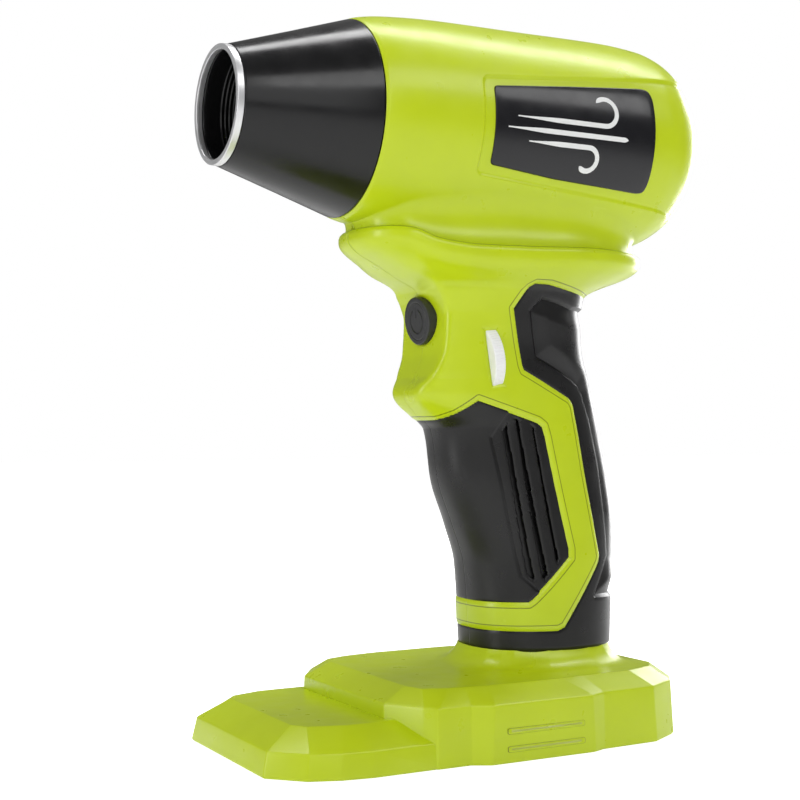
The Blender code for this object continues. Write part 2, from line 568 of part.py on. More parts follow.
def make_motor():
    """The motor in the duct's stator vanes: can, end bell, wound core, bearings and tail cone."""
    hub_front = CAN_FRONT + 4.5 * MM
    vanes = bladed("stator_vanes", hub_front, CAN_REAR, HUB_RADIUS, DUCT_BORE - GAP, VANES, 1.4 * MM,
                   math.radians(-16), GREY, layers=3)
    drilled(vanes, CAN_RADIUS + GAP, hub_front, CAN_REAR, sides=32)
    seat = BEARING_RADIUS + GAP
    shell = CAN_RADIUS - 1.0 * MM
    lip = 1.6 * MM
    turned("motor_can", [
        (CAN_REAR, CAN_RADIUS), (CAN_FRONT, CAN_RADIUS), (CAN_FRONT, seat), (CAN_FRONT + lip, seat),
        (CAN_FRONT + lip, shell), (CAN_REAR, shell)], STEEL, steps=32)
    bell = shell - GAP
    turned("motor_end_bell", [(CAN_REAR, bell), (CAN_REAR - lip, bell), (CAN_REAR - lip, seat),
                              (CAN_REAR, seat)], ALUMINIUM, steps=32)
    for end, start in (("front", CAN_FRONT - 0.4 * MM), ("rear", CAN_REAR - BEARING_WIDTH + 0.4 * MM)):
        stop = start + BEARING_WIDTH
        turned(f"bearing_{end}", [(stop, BEARING_RADIUS), (start, BEARING_RADIUS),
                                  (start, SHAFT_RADIUS + RUNNING), (stop, SHAFT_RADIUS + RUNNING)], STEEL,
               steps=24)
    core_front = CAN_FRONT + 4.5 * MM
    core_rear = CAN_REAR - 4.5 * MM
    core = shell - GAP
    turned("stator_core", [(core_rear, core), (core_front, core), (core_front, 6.8 * MM),
                           (core_rear, 6.8 * MM)], COPPER, steps=32)
    tail_rear = CAN_FRONT - 0.4 * MM - GAP
    tail = 18 * MM
    turned("tail_cone", [
        (tail_rear, 0.0), (tail_rear, CAN_RADIUS), (tail_rear - 0.4 * tail, 0.85 * CAN_RADIUS),
        (tail_rear - 0.8 * tail, 0.45 * CAN_RADIUS), (tail_rear - tail, 0.0)], GREY, steps=28)


# ---------------------------------------------------------------------------
# Handle, grips and their pockets
# ---------------------------------------------------------------------------
def handle_z(share):
    """Height of a share of the handle."""
    return COLLAR_Z + share * HANDLE_HEIGHT


def handle_ring(station, inset, rise=0.0, count=24):
    """One oval section of the handle, moved in by inset: a squarer front half and a rounder back."""
    share, front, back, half_width, square = station
    angles = np.arange(count) * 2 * math.pi / count
    middle = COLLAR_X + (front + back) / 2 * MM
    reach_x = (back - front) / 2 * MM - inset
    reach_y = half_width * MM - inset
    power = np.where(np.cos(angles) < 0, 2 / square, 2 / 2.3)
    x = middle + reach_x * np.sign(np.cos(angles)) * np.abs(np.cos(angles)) ** power
    y = reach_y * np.sign(np.sin(angles)) * np.abs(np.sin(angles)) ** power
    return np.stack([x, y, np.full(count, handle_z(share) + rise)], axis=1)


def handle_solid(name, inset, reach):
    """The handle as a solid moved in by inset, and made longer at both ends by reach."""
    rings = [handle_ring(station, inset) for station in HANDLE_STATIONS]
    if reach:
        rings = [handle_ring(HANDLE_STATIONS[0], inset, -reach)] + rings
        rings = rings + [handle_ring(HANDLE_STATIONS[-1], inset, reach)]
    return loft(name, rings)


def side_outline(points, grow=0.0):
    """A side-view outline of the handle in metres, moved out by grow."""
    placed = [(COLLAR_X + back * MM, handle_z(share)) for back, share in points]
    return offset(placed, grow)


def side_prism(name, points, grow=0.0):
    """A side-view outline run right through the handle."""
    return prism(name, side_outline(points, grow), "Y", -30 * MM, 30 * MM)


def skin(stem, points, without=None):
    """A soft skin over the handle inside an outline, as a left and a right part."""
    body = handle_solid(stem + " body", 0.0, 0.0)
    boolean(body, handle_solid(stem + " core", GRIP_THICKNESS, 4 * MM), "DIFFERENCE")
    boolean(body, side_prism(stem + " outline", points), "INTERSECT")
    if without is not None:
        boolean(body, side_prism(stem + " opening", without, GAP), "DIFFERENCE")
    halves(body, stem, GRIP)


def pocket(name, points):
    """The cutter of a grip's pocket in the handle's wall."""
    cutter = side_prism(name, points, GAP)
    return boolean(cutter, handle_solid(name + " floor", GRIP_THICKNESS + GAP, 12 * MM), "DIFFERENCE")


def screw_places(rows):
    """Where screws cross the middle plane: handle screws as pairs, barrel screws as distances."""
    if isinstance(rows[0], tuple):
        return [(COLLAR_X + back * MM, handle_z(share)) for back, share in rows]
    return [(COLLAR_X + back * MM, SEAM_Z + BARREL_SCREW_RISE) for back in rows]


def screw_wells(name, places):
    """Pilot holes through both halves and head wells from the right side."""
    cuts = []
    for x, z in places:
        cuts.append(rod("pilot", (x, SCREW_TIP_Y - 2 * GAP, z), (x, SCREW_SEAT_Y + GAP, z),
                        SCREW_RADIUS + GAP))
        cuts.append(rod("well", (x, SCREW_SEAT_Y, z), (x, 40 * MM, z), SCREW_HEAD_RADIUS + GAP))
    merged = cuts[0]
    for other in cuts[1:]:
        boolean(merged, other, "UNION")
    merged.name = name
    return merged


def screw(name, seat, direction, length):
    """A pan-head screw: its head stands on the seat, its shank runs the other way."""
    heading = Vector(direction)
    turn = heading.to_track_quat("Z", "Y").to_euler()
    top = SCREW_HEAD_HEIGHT
    turned(name, [(top, 0.0), (top, SCREW_HEAD_RADIUS * 0.8), (top * 0.7, SCREW_HEAD_RADIUS),
                  (0.0, SCREW_HEAD_RADIUS), (0.0, SCREW_RADIUS), (-length + 1 * MM, SCREW_RADIUS),
                  (-length, 0.0)], STEEL, steps=8, centre=seat, turn=turn)


def button_axis():
    """Unit vector out of the power button's face."""
    return Vector((-math.cos(BUTTON_TILT), 0.0, -math.sin(BUTTON_TILT)))


def wheel_axis():
    """Unit vector along the speed wheel's spindle."""
    return Vector((math.cos(WHEEL_TILT), 0.0, math.sin(WHEEL_TILT)))


def make_handle():
    """Two green mouldings with pockets for the grips, screw bosses, button hole and wheel slot."""
    whole = handle_solid("whole handle", 0.0, 0.0)
    boolean(whole, handle_solid("handle hollow", HANDLE_WALL, 6 * MM), "DIFFERENCE")
    bosses = [rod("boss", (x, -20 * MM, z), (x, 20 * MM, z), BOSS_RADIUS)
              for x, z in screw_places(HANDLE_SCREWS)]
    bosses = grouped("handle bosses", bosses)
    boolean(bosses, handle_solid("boss limit", 1.8 * MM, 0.0), "INTERSECT")
    boolean(whole, bosses, "UNION")
    boolean(whole, screw_wells("handle wells", screw_places(HANDLE_SCREWS)), "DIFFERENCE")
    boolean(whole, pocket("front grip pocket", FRONT_GRIP), "DIFFERENCE")
    boolean(whole, pocket("rear grip pocket", REAR_GRIP), "DIFFERENCE")
    out = button_axis()
    hole = rod("button hole", BUTTON_SEAT + out * 8 * MM, BUTTON_SEAT - out * 8 * MM, BUTTON_RADIUS + GAP,
               sides=28)
    boolean(whole, hole, "DIFFERENCE")
    shells = halves(whole, "handle_shell", LIME)
    along = wheel_axis()
    half = along * (WHEEL_WIDTH / 2 + GAP)
    slot = rod("wheel slot", WHEEL_MIDDLE - half, WHEEL_MIDDLE + half, WHEEL_RADIUS + GAP, sides=40)
    smooth(boolean(shells["left"], slot, "DIFFERENCE"))
    return shells


def make_grips():
    """Soft skins: front grip, rear grip with its collar band, and the palm pad inside the rear grip."""
    skin("grip_front", FRONT_GRIP)
    skin("grip_rear", REAR_GRIP, without=PALM_PAD)
    skin("palm_pad", PALM_PAD)


def make_controls():
    """Power button with its switch, and speed wheel with its spindle and potentiometer."""
    out = button_axis()
    face = BUTTON_SEAT + out * BUTTON_STANDING
    back = BUTTON_SEAT - out * 2.6 * MM
    button = rod("power_button", back, face, BUTTON_RADIUS, BLACK, sides=28)
    bevel = button.modifiers.new("Edge", "BEVEL")
    bevel.width = 0.6 * MM
    bevel.segments = 2
    bevel.limit_method = "ANGLE"
    smooth(settle(button))
    play = BUTTON_TRAVEL + GAP
    cap = rod("button_switch", back - out * play, back - out * (play + 1.6 * MM), 1.8 * MM, GREY, sides=12)
    low = back - out * (play + 0.9 * MM)
    half = 3.1 * MM
    body = box("switch body", low - Vector((0, half, half)), low + Vector((2.5 * MM, half, half)))
    boolean(cap, body, "UNION")
    plate = low + Vector((2.5 * MM + GAP, 0, 0))
    box("switch_board", plate - Vector((0, 8 * MM, 6 * MM)), plate + Vector((0.8 * MM, 8 * MM, 6 * MM)),
        BOARD)
    along = wheel_axis()
    half = along * WHEEL_WIDTH / 2
    wheel = rod("speed_wheel", WHEEL_MIDDLE - half, WHEEL_MIDDLE + half, WHEEL_RADIUS, WHITE, sides=48)
    bevel = wheel.modifiers.new("Edge", "BEVEL")
    bevel.width = 0.4 * MM
    bevel.segments = 1
    bevel.limit_method = "ANGLE"
    settle(wheel)
    bore = rod("wheel bore", WHEEL_MIDDLE - 2 * half, WHEEL_MIDDLE + 2 * half, 1.8 * MM)
    smooth(boolean(wheel, bore, "DIFFERENCE"))
    spindle_end = WHEEL_MIDDLE + along * (WHEEL_WIDTH / 2 + 3 * MM)
    rod("wheel_spindle", WHEEL_MIDDLE - half, spindle_end, 1.8 * MM - GAP, BRASS, sides=12)
    pot_start = WHEEL_MIDDLE + along * (WHEEL_WIDTH / 2 + 0.8 * MM)
    pot = rod("wheel_pot", pot_start, pot_start + along * 6 * MM, 5.1 * MM, GREY, sides=20)
    hole = rod("pot hole", pot_start - along * 1 * MM, spindle_end + along * GAP, 1.8 * MM)
    smooth(boolean(pot, hole, "DIFFERENCE"))


def make_electronics():
    """Motor control board with its heat sink and capacitor, and the wires."""
    board_low = handle_z(0.17)
    board_high = handle_z(0.50)
    board_x = COLLAR_X - 15 * MM
    thick = 1.6 * MM
    box("control_board", (board_x, -thick / 2, board_low), (board_x + 24 * MM, thick / 2, board_high), BOARD)
    side = thick / 2 + GAP
    sink = box("board_heatsink", (board_x + 3 * MM, -side - 6 * MM, board_low + 12 * MM),
               (board_x + 19 * MM, -side, board_low + 32 * MM), ALUMINIUM)
    fins = []
    for k in range(4):
        start = board_x + (5.2 + 3.4 * k) * MM
        fins.append(box("fin gap", (start, -side - 7 * MM, board_low),
                        (start + 1.8 * MM, -side - 1.8 * MM, board_high)))
    boolean(sink, grouped("fin gaps", fins), "DIFFERENCE")
    rod("capacitor", (board_x + 5 * MM, side + 4.2 * MM, board_low + 4 * MM),
        (board_x + 5 * MM, side + 4.2 * MM, board_low + 20 * MM), 4.0 * MM, BLACK, sides=16)
    wires(board_x, board_low, board_high)


def smooth_route(points, count=14):
    """A smooth curve through route points (Catmull-Rom), sampled evenly in its parameter."""
    knots = np.array([points[0], *points, points[-1]], dtype=float)
    result = []
    for t in np.linspace(0, len(points) - 1, count):
        k = min(int(t), len(points) - 2)
        u = t - k
        a, b, c, d = knots[k:k + 4]
        result.append(0.5 * (2 * b + (c - a) * u + (2 * a - 5 * b + 4 * c - d) * u ** 2
                             + (3 * b - a - 3 * c + d) * u ** 3))
    return result


def wires(board_x, board_low, board_high):
    """Two battery wires up to the board and three phase wires from it to the motor."""
    for name, side, finish in (("battery_wire_positive", -1, RED), ("battery_wire_negative", 1, RUBBER)):
        y = side * 4 * MM
        x = COLLAR_X - 3 * MM
        points = [(x, y, TERMINAL_TOP + GAP), (x, y, COLLAR_Z), (x, y * 0.9, COLLAR_Z + 9 * MM),
                  (x, side * 2.5 * MM, board_low + 8 * MM)]
        tube(name, smooth_route(points, 8), 1.2 * MM, finish)
    high = AXIS_Z - CAN_RADIUS - GAP
    for k, finish in enumerate((RUBBER, RED, GREY)):
        y = (k - 1) * 3.2 * MM
        points = [(board_x + 3.5 * MM, y, board_high + GAP + 1 * MM),
                  (board_x + 3.5 * MM, y, board_high + 14 * MM),
                  (board_x + 4 * MM, y, board_high + 32 * MM), (WIRE_EXIT_X + 1 * MM, y, SEAM_Z),
                  (WIRE_EXIT_X, y, SEAM_Z + 9 * MM), (WIRE_EXIT_X, y, high - abs(y) * 0.1)]
        tube(f"phase_wire_{k + 1}", smooth_route(points, 14), 1.0 * MM, finish)


# ---------------------------------------------------------------------------
# Battery foot
# ---------------------------------------------------------------------------
def foot_ring(half, z, inset=0.0):
    """A plan half outline mirrored into a ring at a height, moved in by inset."""
    near = [(COLLAR_X + (x - COLLAR_STATION) * MM, y * MM) for x, y in half]
    ring = near + [(x, -y) for x, y in reversed(near)]
    return [(x, y, z) for x, y in offset(ring, -inset)]


def collar_ring(z, grow):
    """The handle's collar outline at a height, moved out by grow."""
    ring = handle_ring(HANDLE_STATIONS[0], -grow)
    ring[:, 2] = z
    return ring


def make_foot():
    """The green battery foot: front tongue, chamfered deck, cove up to the collar, open underneath."""
    foot = loft("foot_shell", [foot_ring(DECK_BASE, 0.0), foot_ring(DECK_WAIST, DECK_WAIST_Z),
                               foot_ring(DECK_TOP, FOOT_HEIGHT)], LIME)
    tongue = loft("tongue", [foot_ring(TONGUE_BASE, 0.0), foot_ring(TONGUE_WAIST, TONGUE_WAIST_Z),
                             foot_ring(TONGUE_TOP, TONGUE_HEIGHT)])
    boolean(foot, tongue, "UNION")
    cove = [(FOOT_HEIGHT - 2 * MM, 4.6), (FOOT_HEIGHT + 0.2 * MM, 4.1), (FOOT_HEIGHT + 1.2 * MM, 2.5),
            (FOOT_HEIGHT + 3.0 * MM, 1.0), (COLLAR_Z - GAP, 0.3)]
    boolean(foot, loft("cove", [collar_ring(z, grow * MM) for z, grow in cove]), "UNION")
    spigot = -HANDLE_WALL - GAP
    rings = [collar_ring(COLLAR_Z - 2 * MM, spigot), collar_ring(COLLAR_Z + 3.6 * MM, spigot)]
    boolean(foot, loft("spigot", rings), "UNION")
    roof = FOOT_HEIGHT - FOOT_WALL
    hollow = loft("deck hollow", [foot_ring(DECK_BASE, -1 * MM, FOOT_WALL),
                                  foot_ring(DECK_WAIST, DECK_WAIST_Z - FOOT_WALL / 2, FOOT_WALL),
                                  foot_ring(DECK_TOP, roof, FOOT_WALL / 2)])
    boolean(foot, hollow, "DIFFERENCE")
    low = loft("tongue hollow", [foot_ring(TONGUE_BASE, -1 * MM, FOOT_WALL),
                                 foot_ring(TONGUE_WAIST, TONGUE_WAIST_Z - FOOT_WALL / 3, FOOT_WALL),
                                 foot_ring(TONGUE_TOP, TONGUE_HEIGHT - FOOT_WALL, FOOT_WALL / 2)])
    boolean(foot, low, "DIFFERENCE")
    entry = box("battery entry", (COLLAR_X + 15 * MM, -GUIDE_HALF - GAP, -1 * MM),
                (COLLAR_X + 40 * MM, GUIDE_HALF + GAP, GUIDE_TOP + GAP))
    boolean(foot, entry, "DIFFERENCE")
    way = rod("wire way", (COLLAR_X, 0, roof - 2 * MM), (COLLAR_X, 0, COLLAR_Z + 6 * MM), 9 * MM, sides=28)
    boolean(foot, way, "DIFFERENCE")
    boolean(foot, foot_bosses(), "UNION")
    pilots = [rod("pilot", (x, y, GUIDE_TOP - 1 * MM), (x, y, FOOT_HEIGHT - 1.2 * MM), SCREW_RADIUS + GAP,
                  sides=12) for x, y in foot_screw_places()]
    boolean(foot, grouped("foot pilots", pilots), "DIFFERENCE")


def foot_screw_places():
    """Plan places of the four screws that hold the guide."""
    return [(COLLAR_X + x * MM, y * MM) for x, y in FOOT_SCREWS]


def foot_bosses():
    """Bosses from the deck's underside down to the guide."""
    return grouped("foot bosses", [
        rod("foot boss", (x, y, GUIDE_TOP + GAP), (x, y, FOOT_HEIGHT - 1 * MM), BOSS_RADIUS)
        for x, y in foot_screw_places()])


def make_guide():
    """The black slide rails that the battery pack runs on, its terminal block, blades and screws."""
    side = GUIDE_HALF
    wall = side - GUIDE_RAIL
    lip = wall - GUIDE_LIP
    top = GUIDE_TOP
    under = top - GUIDE_PLATE
    low = GUIDE_FOOT_Z
    lip_top = low + 2.4 * MM
    right = ((side, top), (side, low), (lip, low), (lip, lip_top), (wall, lip_top), (wall, under))
    outline = right + tuple((-y, z) for y, z in reversed(right))
    guide = prism("battery_guide", outline, "X", GUIDE_FRONT_X, GUIDE_REAR_X, BLACK)
    cuts = [rod("hole", (x, y, low), (x, y, top + 1 * MM), SCREW_RADIUS + GAP, sides=12)
            for x, y in foot_screw_places()]
    cuts.append(rod("wire hole", (COLLAR_X - 4 * MM, 0, low), (COLLAR_X - 4 * MM, 0, top + 1 * MM), 7.0 * MM))
    boolean(guide, grouped("guide holes", cuts), "DIFFERENCE")
    block_low = TERMINAL_TOP - TERMINAL_HEIGHT
    block = box("terminal_block", (COLLAR_X - 16 * MM, -17 * MM, block_low),
                (COLLAR_X + 8 * MM, 17 * MM, TERMINAL_TOP), GREY)
    slots = []
    blade = 0.8 * MM
    for k in range(3):
        y = (k - 1) * 11 * MM
        slots.append(box("blade slot", (COLLAR_X, y - blade / 2 - GAP, block_low - 1 * MM),
                         (COLLAR_X + 9 * MM, y + blade / 2 + GAP, TERMINAL_TOP - 1.2 * MM)))
        box(f"contact_blade_{k + 1}", (COLLAR_X + GAP, y - blade / 2, block_low),
            (COLLAR_X + 20 * MM, y + blade / 2, TERMINAL_TOP - 1.2 * MM - GAP), BRASS)
    boolean(block, grouped("blade slots", slots), "DIFFERENCE")
    for k, (x, y) in enumerate(foot_screw_places()):
        screw(f"foot_screw_{k + 1}", (x, y, under - GAP), (0, 0, -1), FOOT_HEIGHT - 1.8 * MM - under)


def make_screws():
    """Screws that clamp the left and right mouldings, all driven from the right side."""
    length = SCREW_SEAT_Y + GAP - SCREW_TIP_Y
    for k, (x, z) in enumerate(screw_places(HANDLE_SCREWS)):
        screw(f"handle_screw_{k + 1}", (x, SCREW_SEAT_Y + GAP, z), (0, 1, 0), length)
    for k, (x, z) in enumerate(screw_places(BARREL_SCREWS)):
        screw(f"barrel_screw_{k + 1}", (x, SCREW_SEAT_Y + GAP, z), (0, 1, 0), length)


make_barrel()
make_plates()
make_cone()
make_intake()
make_duct()
make_fan()
make_motor()
make_handle()
make_grips()
make_controls()
make_electronics()
make_foot()
make_guide()
make_screws()
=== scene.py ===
# %% [markdown]
# # A cordless turbofan blower, finished in numpy surfaces
#
# The blower is a small pistol: a lime barrel with a black nozzle cone, a handle dressed in soft black
# grips, and a flat foot that takes a battery. The CAD frame already holds every part at its true size.
# This lesson wraps that frame in fine surfaces, each worked out as a formula on a grid, and gives every
# piece a procedural finish. Lengths below are millimetres. A "station" is the distance behind the mouth.

import json
import math

import bmesh
import bpy
import numpy as np
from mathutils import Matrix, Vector


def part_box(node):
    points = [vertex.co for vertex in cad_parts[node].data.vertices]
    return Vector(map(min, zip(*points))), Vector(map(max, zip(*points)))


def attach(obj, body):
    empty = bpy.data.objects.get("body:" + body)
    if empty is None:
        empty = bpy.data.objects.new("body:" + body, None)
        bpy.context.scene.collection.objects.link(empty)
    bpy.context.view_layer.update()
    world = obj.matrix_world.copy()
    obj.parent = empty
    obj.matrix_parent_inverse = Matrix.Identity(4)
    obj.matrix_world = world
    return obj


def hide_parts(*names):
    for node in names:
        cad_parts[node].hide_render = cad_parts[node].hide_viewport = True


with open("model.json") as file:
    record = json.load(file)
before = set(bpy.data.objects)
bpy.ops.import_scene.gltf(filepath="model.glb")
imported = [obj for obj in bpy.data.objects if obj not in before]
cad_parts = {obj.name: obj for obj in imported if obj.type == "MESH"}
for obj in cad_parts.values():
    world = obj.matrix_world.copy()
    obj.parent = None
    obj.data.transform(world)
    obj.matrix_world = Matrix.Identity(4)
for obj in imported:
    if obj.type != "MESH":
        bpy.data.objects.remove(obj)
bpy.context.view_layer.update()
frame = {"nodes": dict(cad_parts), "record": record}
MM = 0.001
print("frame holds", len(frame["nodes"]), "CAD nodes")

# %% [markdown]
# ## Where things are
# Nothing is placed by guesswork: the mouth plane, the barrel's axis, the collar above the foot and the
# seam under the barrel are read from the CAD nodes, so the looks always meet the mechanism. Only three
# stations of the real tool are plain numbers.

# %% Places read from the frame
ring_low, ring_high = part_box("mouth_ring")
handle_low, handle_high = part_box("handle_shell_left")
MOUTH = ring_low.x / MM
AXIS = (ring_low.z + ring_high.z) / 2 / MM
COLLAR = handle_low.z / MM
SEAM = handle_high.z / MM
COLLAR_STATION = 101.9   # middle of the collar
JOINT = 36.9             # where the cone meets the barrel
REAR = 143.5             # the barrel's rear end
print(f"axis {AXIS:.1f}, seam {SEAM:.1f}, collar {COLLAR:.1f}")


# %% [markdown]
# ## Helpers for surfaces
# A moulded shell is drawn by a few sections that flow into each other. `through` gives the smooth curve
# between chosen sections. A spline could swing past its points, so a monotone cubic is used instead.

# %% Curves through chosen points
def through(stations, values):
    """Monotone cubic through the points: it meets each one and never swings past it. The slope at a
    point is the weighted harmonic mean of the slopes on both sides."""
    x = np.asarray(stations, float)
    y = np.asarray(values, float)
    step = np.diff(x)
    slope = np.diff(y) / step
    near, far = 2 * step[1:] + step[:-1], step[1:] + 2 * step[:-1]
    same = slope[:-1] * slope[1:] > 0
    with np.errstate(divide="ignore", invalid="ignore"):
        inner = np.where(same, (near + far) / (near / slope[:-1] + far / slope[1:]), 0.0)
    lean = np.concatenate([[slope[0]], inner, [slope[-1]]])

    def curve(at):
        """The cubic at stations of any array shape."""
        at = np.clip(at, x[0], x[-1])
        k = np.clip(np.searchsorted(x, at, side="right") - 1, 0, len(step) - 1)
        t = (at - x[k]) / step[k]
        return (y[k] * (1 + 2 * t) * (1 - t) ** 2 + y[k + 1] * t * t * (3 - 2 * t)
                + step[k] * (lean[k] * t * (1 - t) ** 2 + lean[k + 1] * t * t * (t - 1)))
    return curve


def ease(t):
    """Smooth step from 0 to 1: 3t^2 - 2t^3, held flat outside that range."""
    t = np.clip(t, 0.0, 1.0)
    return t * t * (3 - 2 * t)


def spread(*stretches):
    """Stations with their own spacing in each stretch, given as (start, stop, spacing)."""
    runs = [np.linspace(a, b, max(2, int(round(abs(b - a) / s)) + 1)) for a, b, s in stretches]
    return np.unique(np.round(np.concatenate(runs), 5))


print("stations:", spread((0, 1, 0.5), (1, 3, 1.0)), "eased half:", ease(0.5))

# %% [markdown]
# ## From arrays to meshes
# `sheet` turns a grid of points into faces, and `build` puts whole arrays into a mesh in one go, which is
# far quicker than adding one vertex at a time. It also gives the piece its finish and its moving body.

# %% Faces and meshes
NO_LINE = 9.0   # a distance (mm) that is far from any engraved line


def sheet(rows, cols, wrap=False):
    """Quads of a grid, row by row; with wrap, the last column joins the first."""
    index = np.arange(rows * cols).reshape(rows, cols)
    if wrap:
        index = np.concatenate([index, index[:, :1]], axis=1)
    corners = [index[:-1, :-1], index[1:, :-1], index[1:, 1:], index[:-1, 1:]]
    return np.stack(corners, axis=-1).reshape(-1, 4)


def build(name, points, faces, finish, slot, body="housing", replaces=(), merge=True, line=None,
          outward=False, sharp=40):
    """A mesh from points (station, y, z in mm) and faces, with its finish and its place in the frame.
    Merging closes poles and seams; outward recalculates a closed body's normals. line is the distance (mm)
    from each point to an engraved hairline or seam; the finish paints shade as a dark line close to it."""
    mesh = bpy.data.meshes.new(name)
    placed = (np.asarray(points, float) + (MOUTH, 0.0, 0.0)) * MM
    mesh.from_pydata(placed, [], faces.tolist())
    line = np.full(len(placed), NO_LINE) if line is None else line
    mesh.attributes.new("line", "FLOAT", "POINT").data.foreach_set("value", np.asarray(line, np.float32))
    if merge or outward:
        shape = bmesh.new()
        shape.from_mesh(mesh)
        bmesh.ops.remove_doubles(shape, verts=shape.verts, dist=2e-6)
        if outward:
            bmesh.ops.recalc_face_normals(shape, faces=shape.faces)
        shape.to_mesh(mesh)
        shape.free()
    mesh.shade_smooth()
    mesh.set_sharp_from_angle(angle=math.radians(sharp))
    mesh.materials.append(finish)
    thing = bpy.data.objects.new(name, mesh)
    bpy.context.scene.collection.objects.link(thing)
    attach(thing, body)
    if replaces:
        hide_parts(*replaces)
    return thing


def thicken(thing, depth):
    """Give an open skin a wall of that depth (mm) on its inner side."""
    wall = thing.modifiers.new("Wall", "SOLIDIFY")
    wall.thickness = depth * MM
    wall.offset = -1.0
    return thing


def full_turn(steps):
    """Angles evenly round a circle, without repeating the first."""
    return np.arange(steps) * 2 * np.pi / steps


def turned(profile, steps=160):
    """A profile of (station, radius) carried round the barrel's axis: y = r sin a, z = axis + r cos a."""
    along, radius = np.asarray(profile, float).T[:, :, None]
    turn = full_turn(steps)
    grid = np.stack([along + 0 * turn, radius * np.sin(turn), AXIS + radius * np.cos(turn)], axis=-1)
    return grid.reshape(-1, 3), sheet(len(grid), steps, wrap=True)


print("a 3 by 4 grid has", len(sheet(3, 4)), "faces, or", len(sheet(3, 4, wrap=True)), "when wrapped")

# %% [markdown]
# ## Outlines
# Moulds have no perfectly sharp corners. Outlines are therefore drawn with plain corners, which are easy to
# read, and each corner is rounded afterwards by a small arc.

# %% Rounding and spacing outlines
def rounded(profile, radius, steps=5):
    """Round the corners of a polyline: each corner becomes a short quadratic arc that starts and ends a
    radius away from it, or less beside a short side."""
    points = np.asarray(profile, float)
    result = [points[0]]
    for before, corner, after in zip(points[:-2], points[1:-1], points[2:]):
        back, ahead = before - corner, after - corner
        reach = min(radius, np.linalg.norm(back) / 2.1, np.linalg.norm(ahead) / 2.1)
        start = corner + back / np.linalg.norm(back) * reach
        stop = corner + ahead / np.linalg.norm(ahead) * reach
        for t in np.linspace(0, 1, steps):
            result.append((1 - t) ** 2 * start + 2 * t * (1 - t) * corner + t * t * stop)
    result.append(points[-1])
    return np.array(result)


def ring_rounded(outline, radius, steps=5):
    """Round every corner of a closed outline, and return it without repeating its first point."""
    points = np.asarray(outline, float)
    middle = (points[0] + points[-1]) / 2
    looped = np.concatenate([[middle], points, [middle]])
    return rounded(looped, radius, steps)[:-1]


def evenly(outline, count):
    """Spread a closed outline's points evenly along its length."""
    loop = np.concatenate([outline, outline[:1]])
    run = np.concatenate([[0], np.cumsum(np.linalg.norm(np.diff(loop, axis=0), axis=1))])
    at = np.arange(count) * run[-1] / count
    return np.stack([np.interp(at, run, loop[:, k]) for k in range(loop.shape[1])], axis=1)


print("a square with round corners has", len(ring_rounded([(0, 0), (4, 0), (4, 4), (0, 4)], 0.5)), "points")
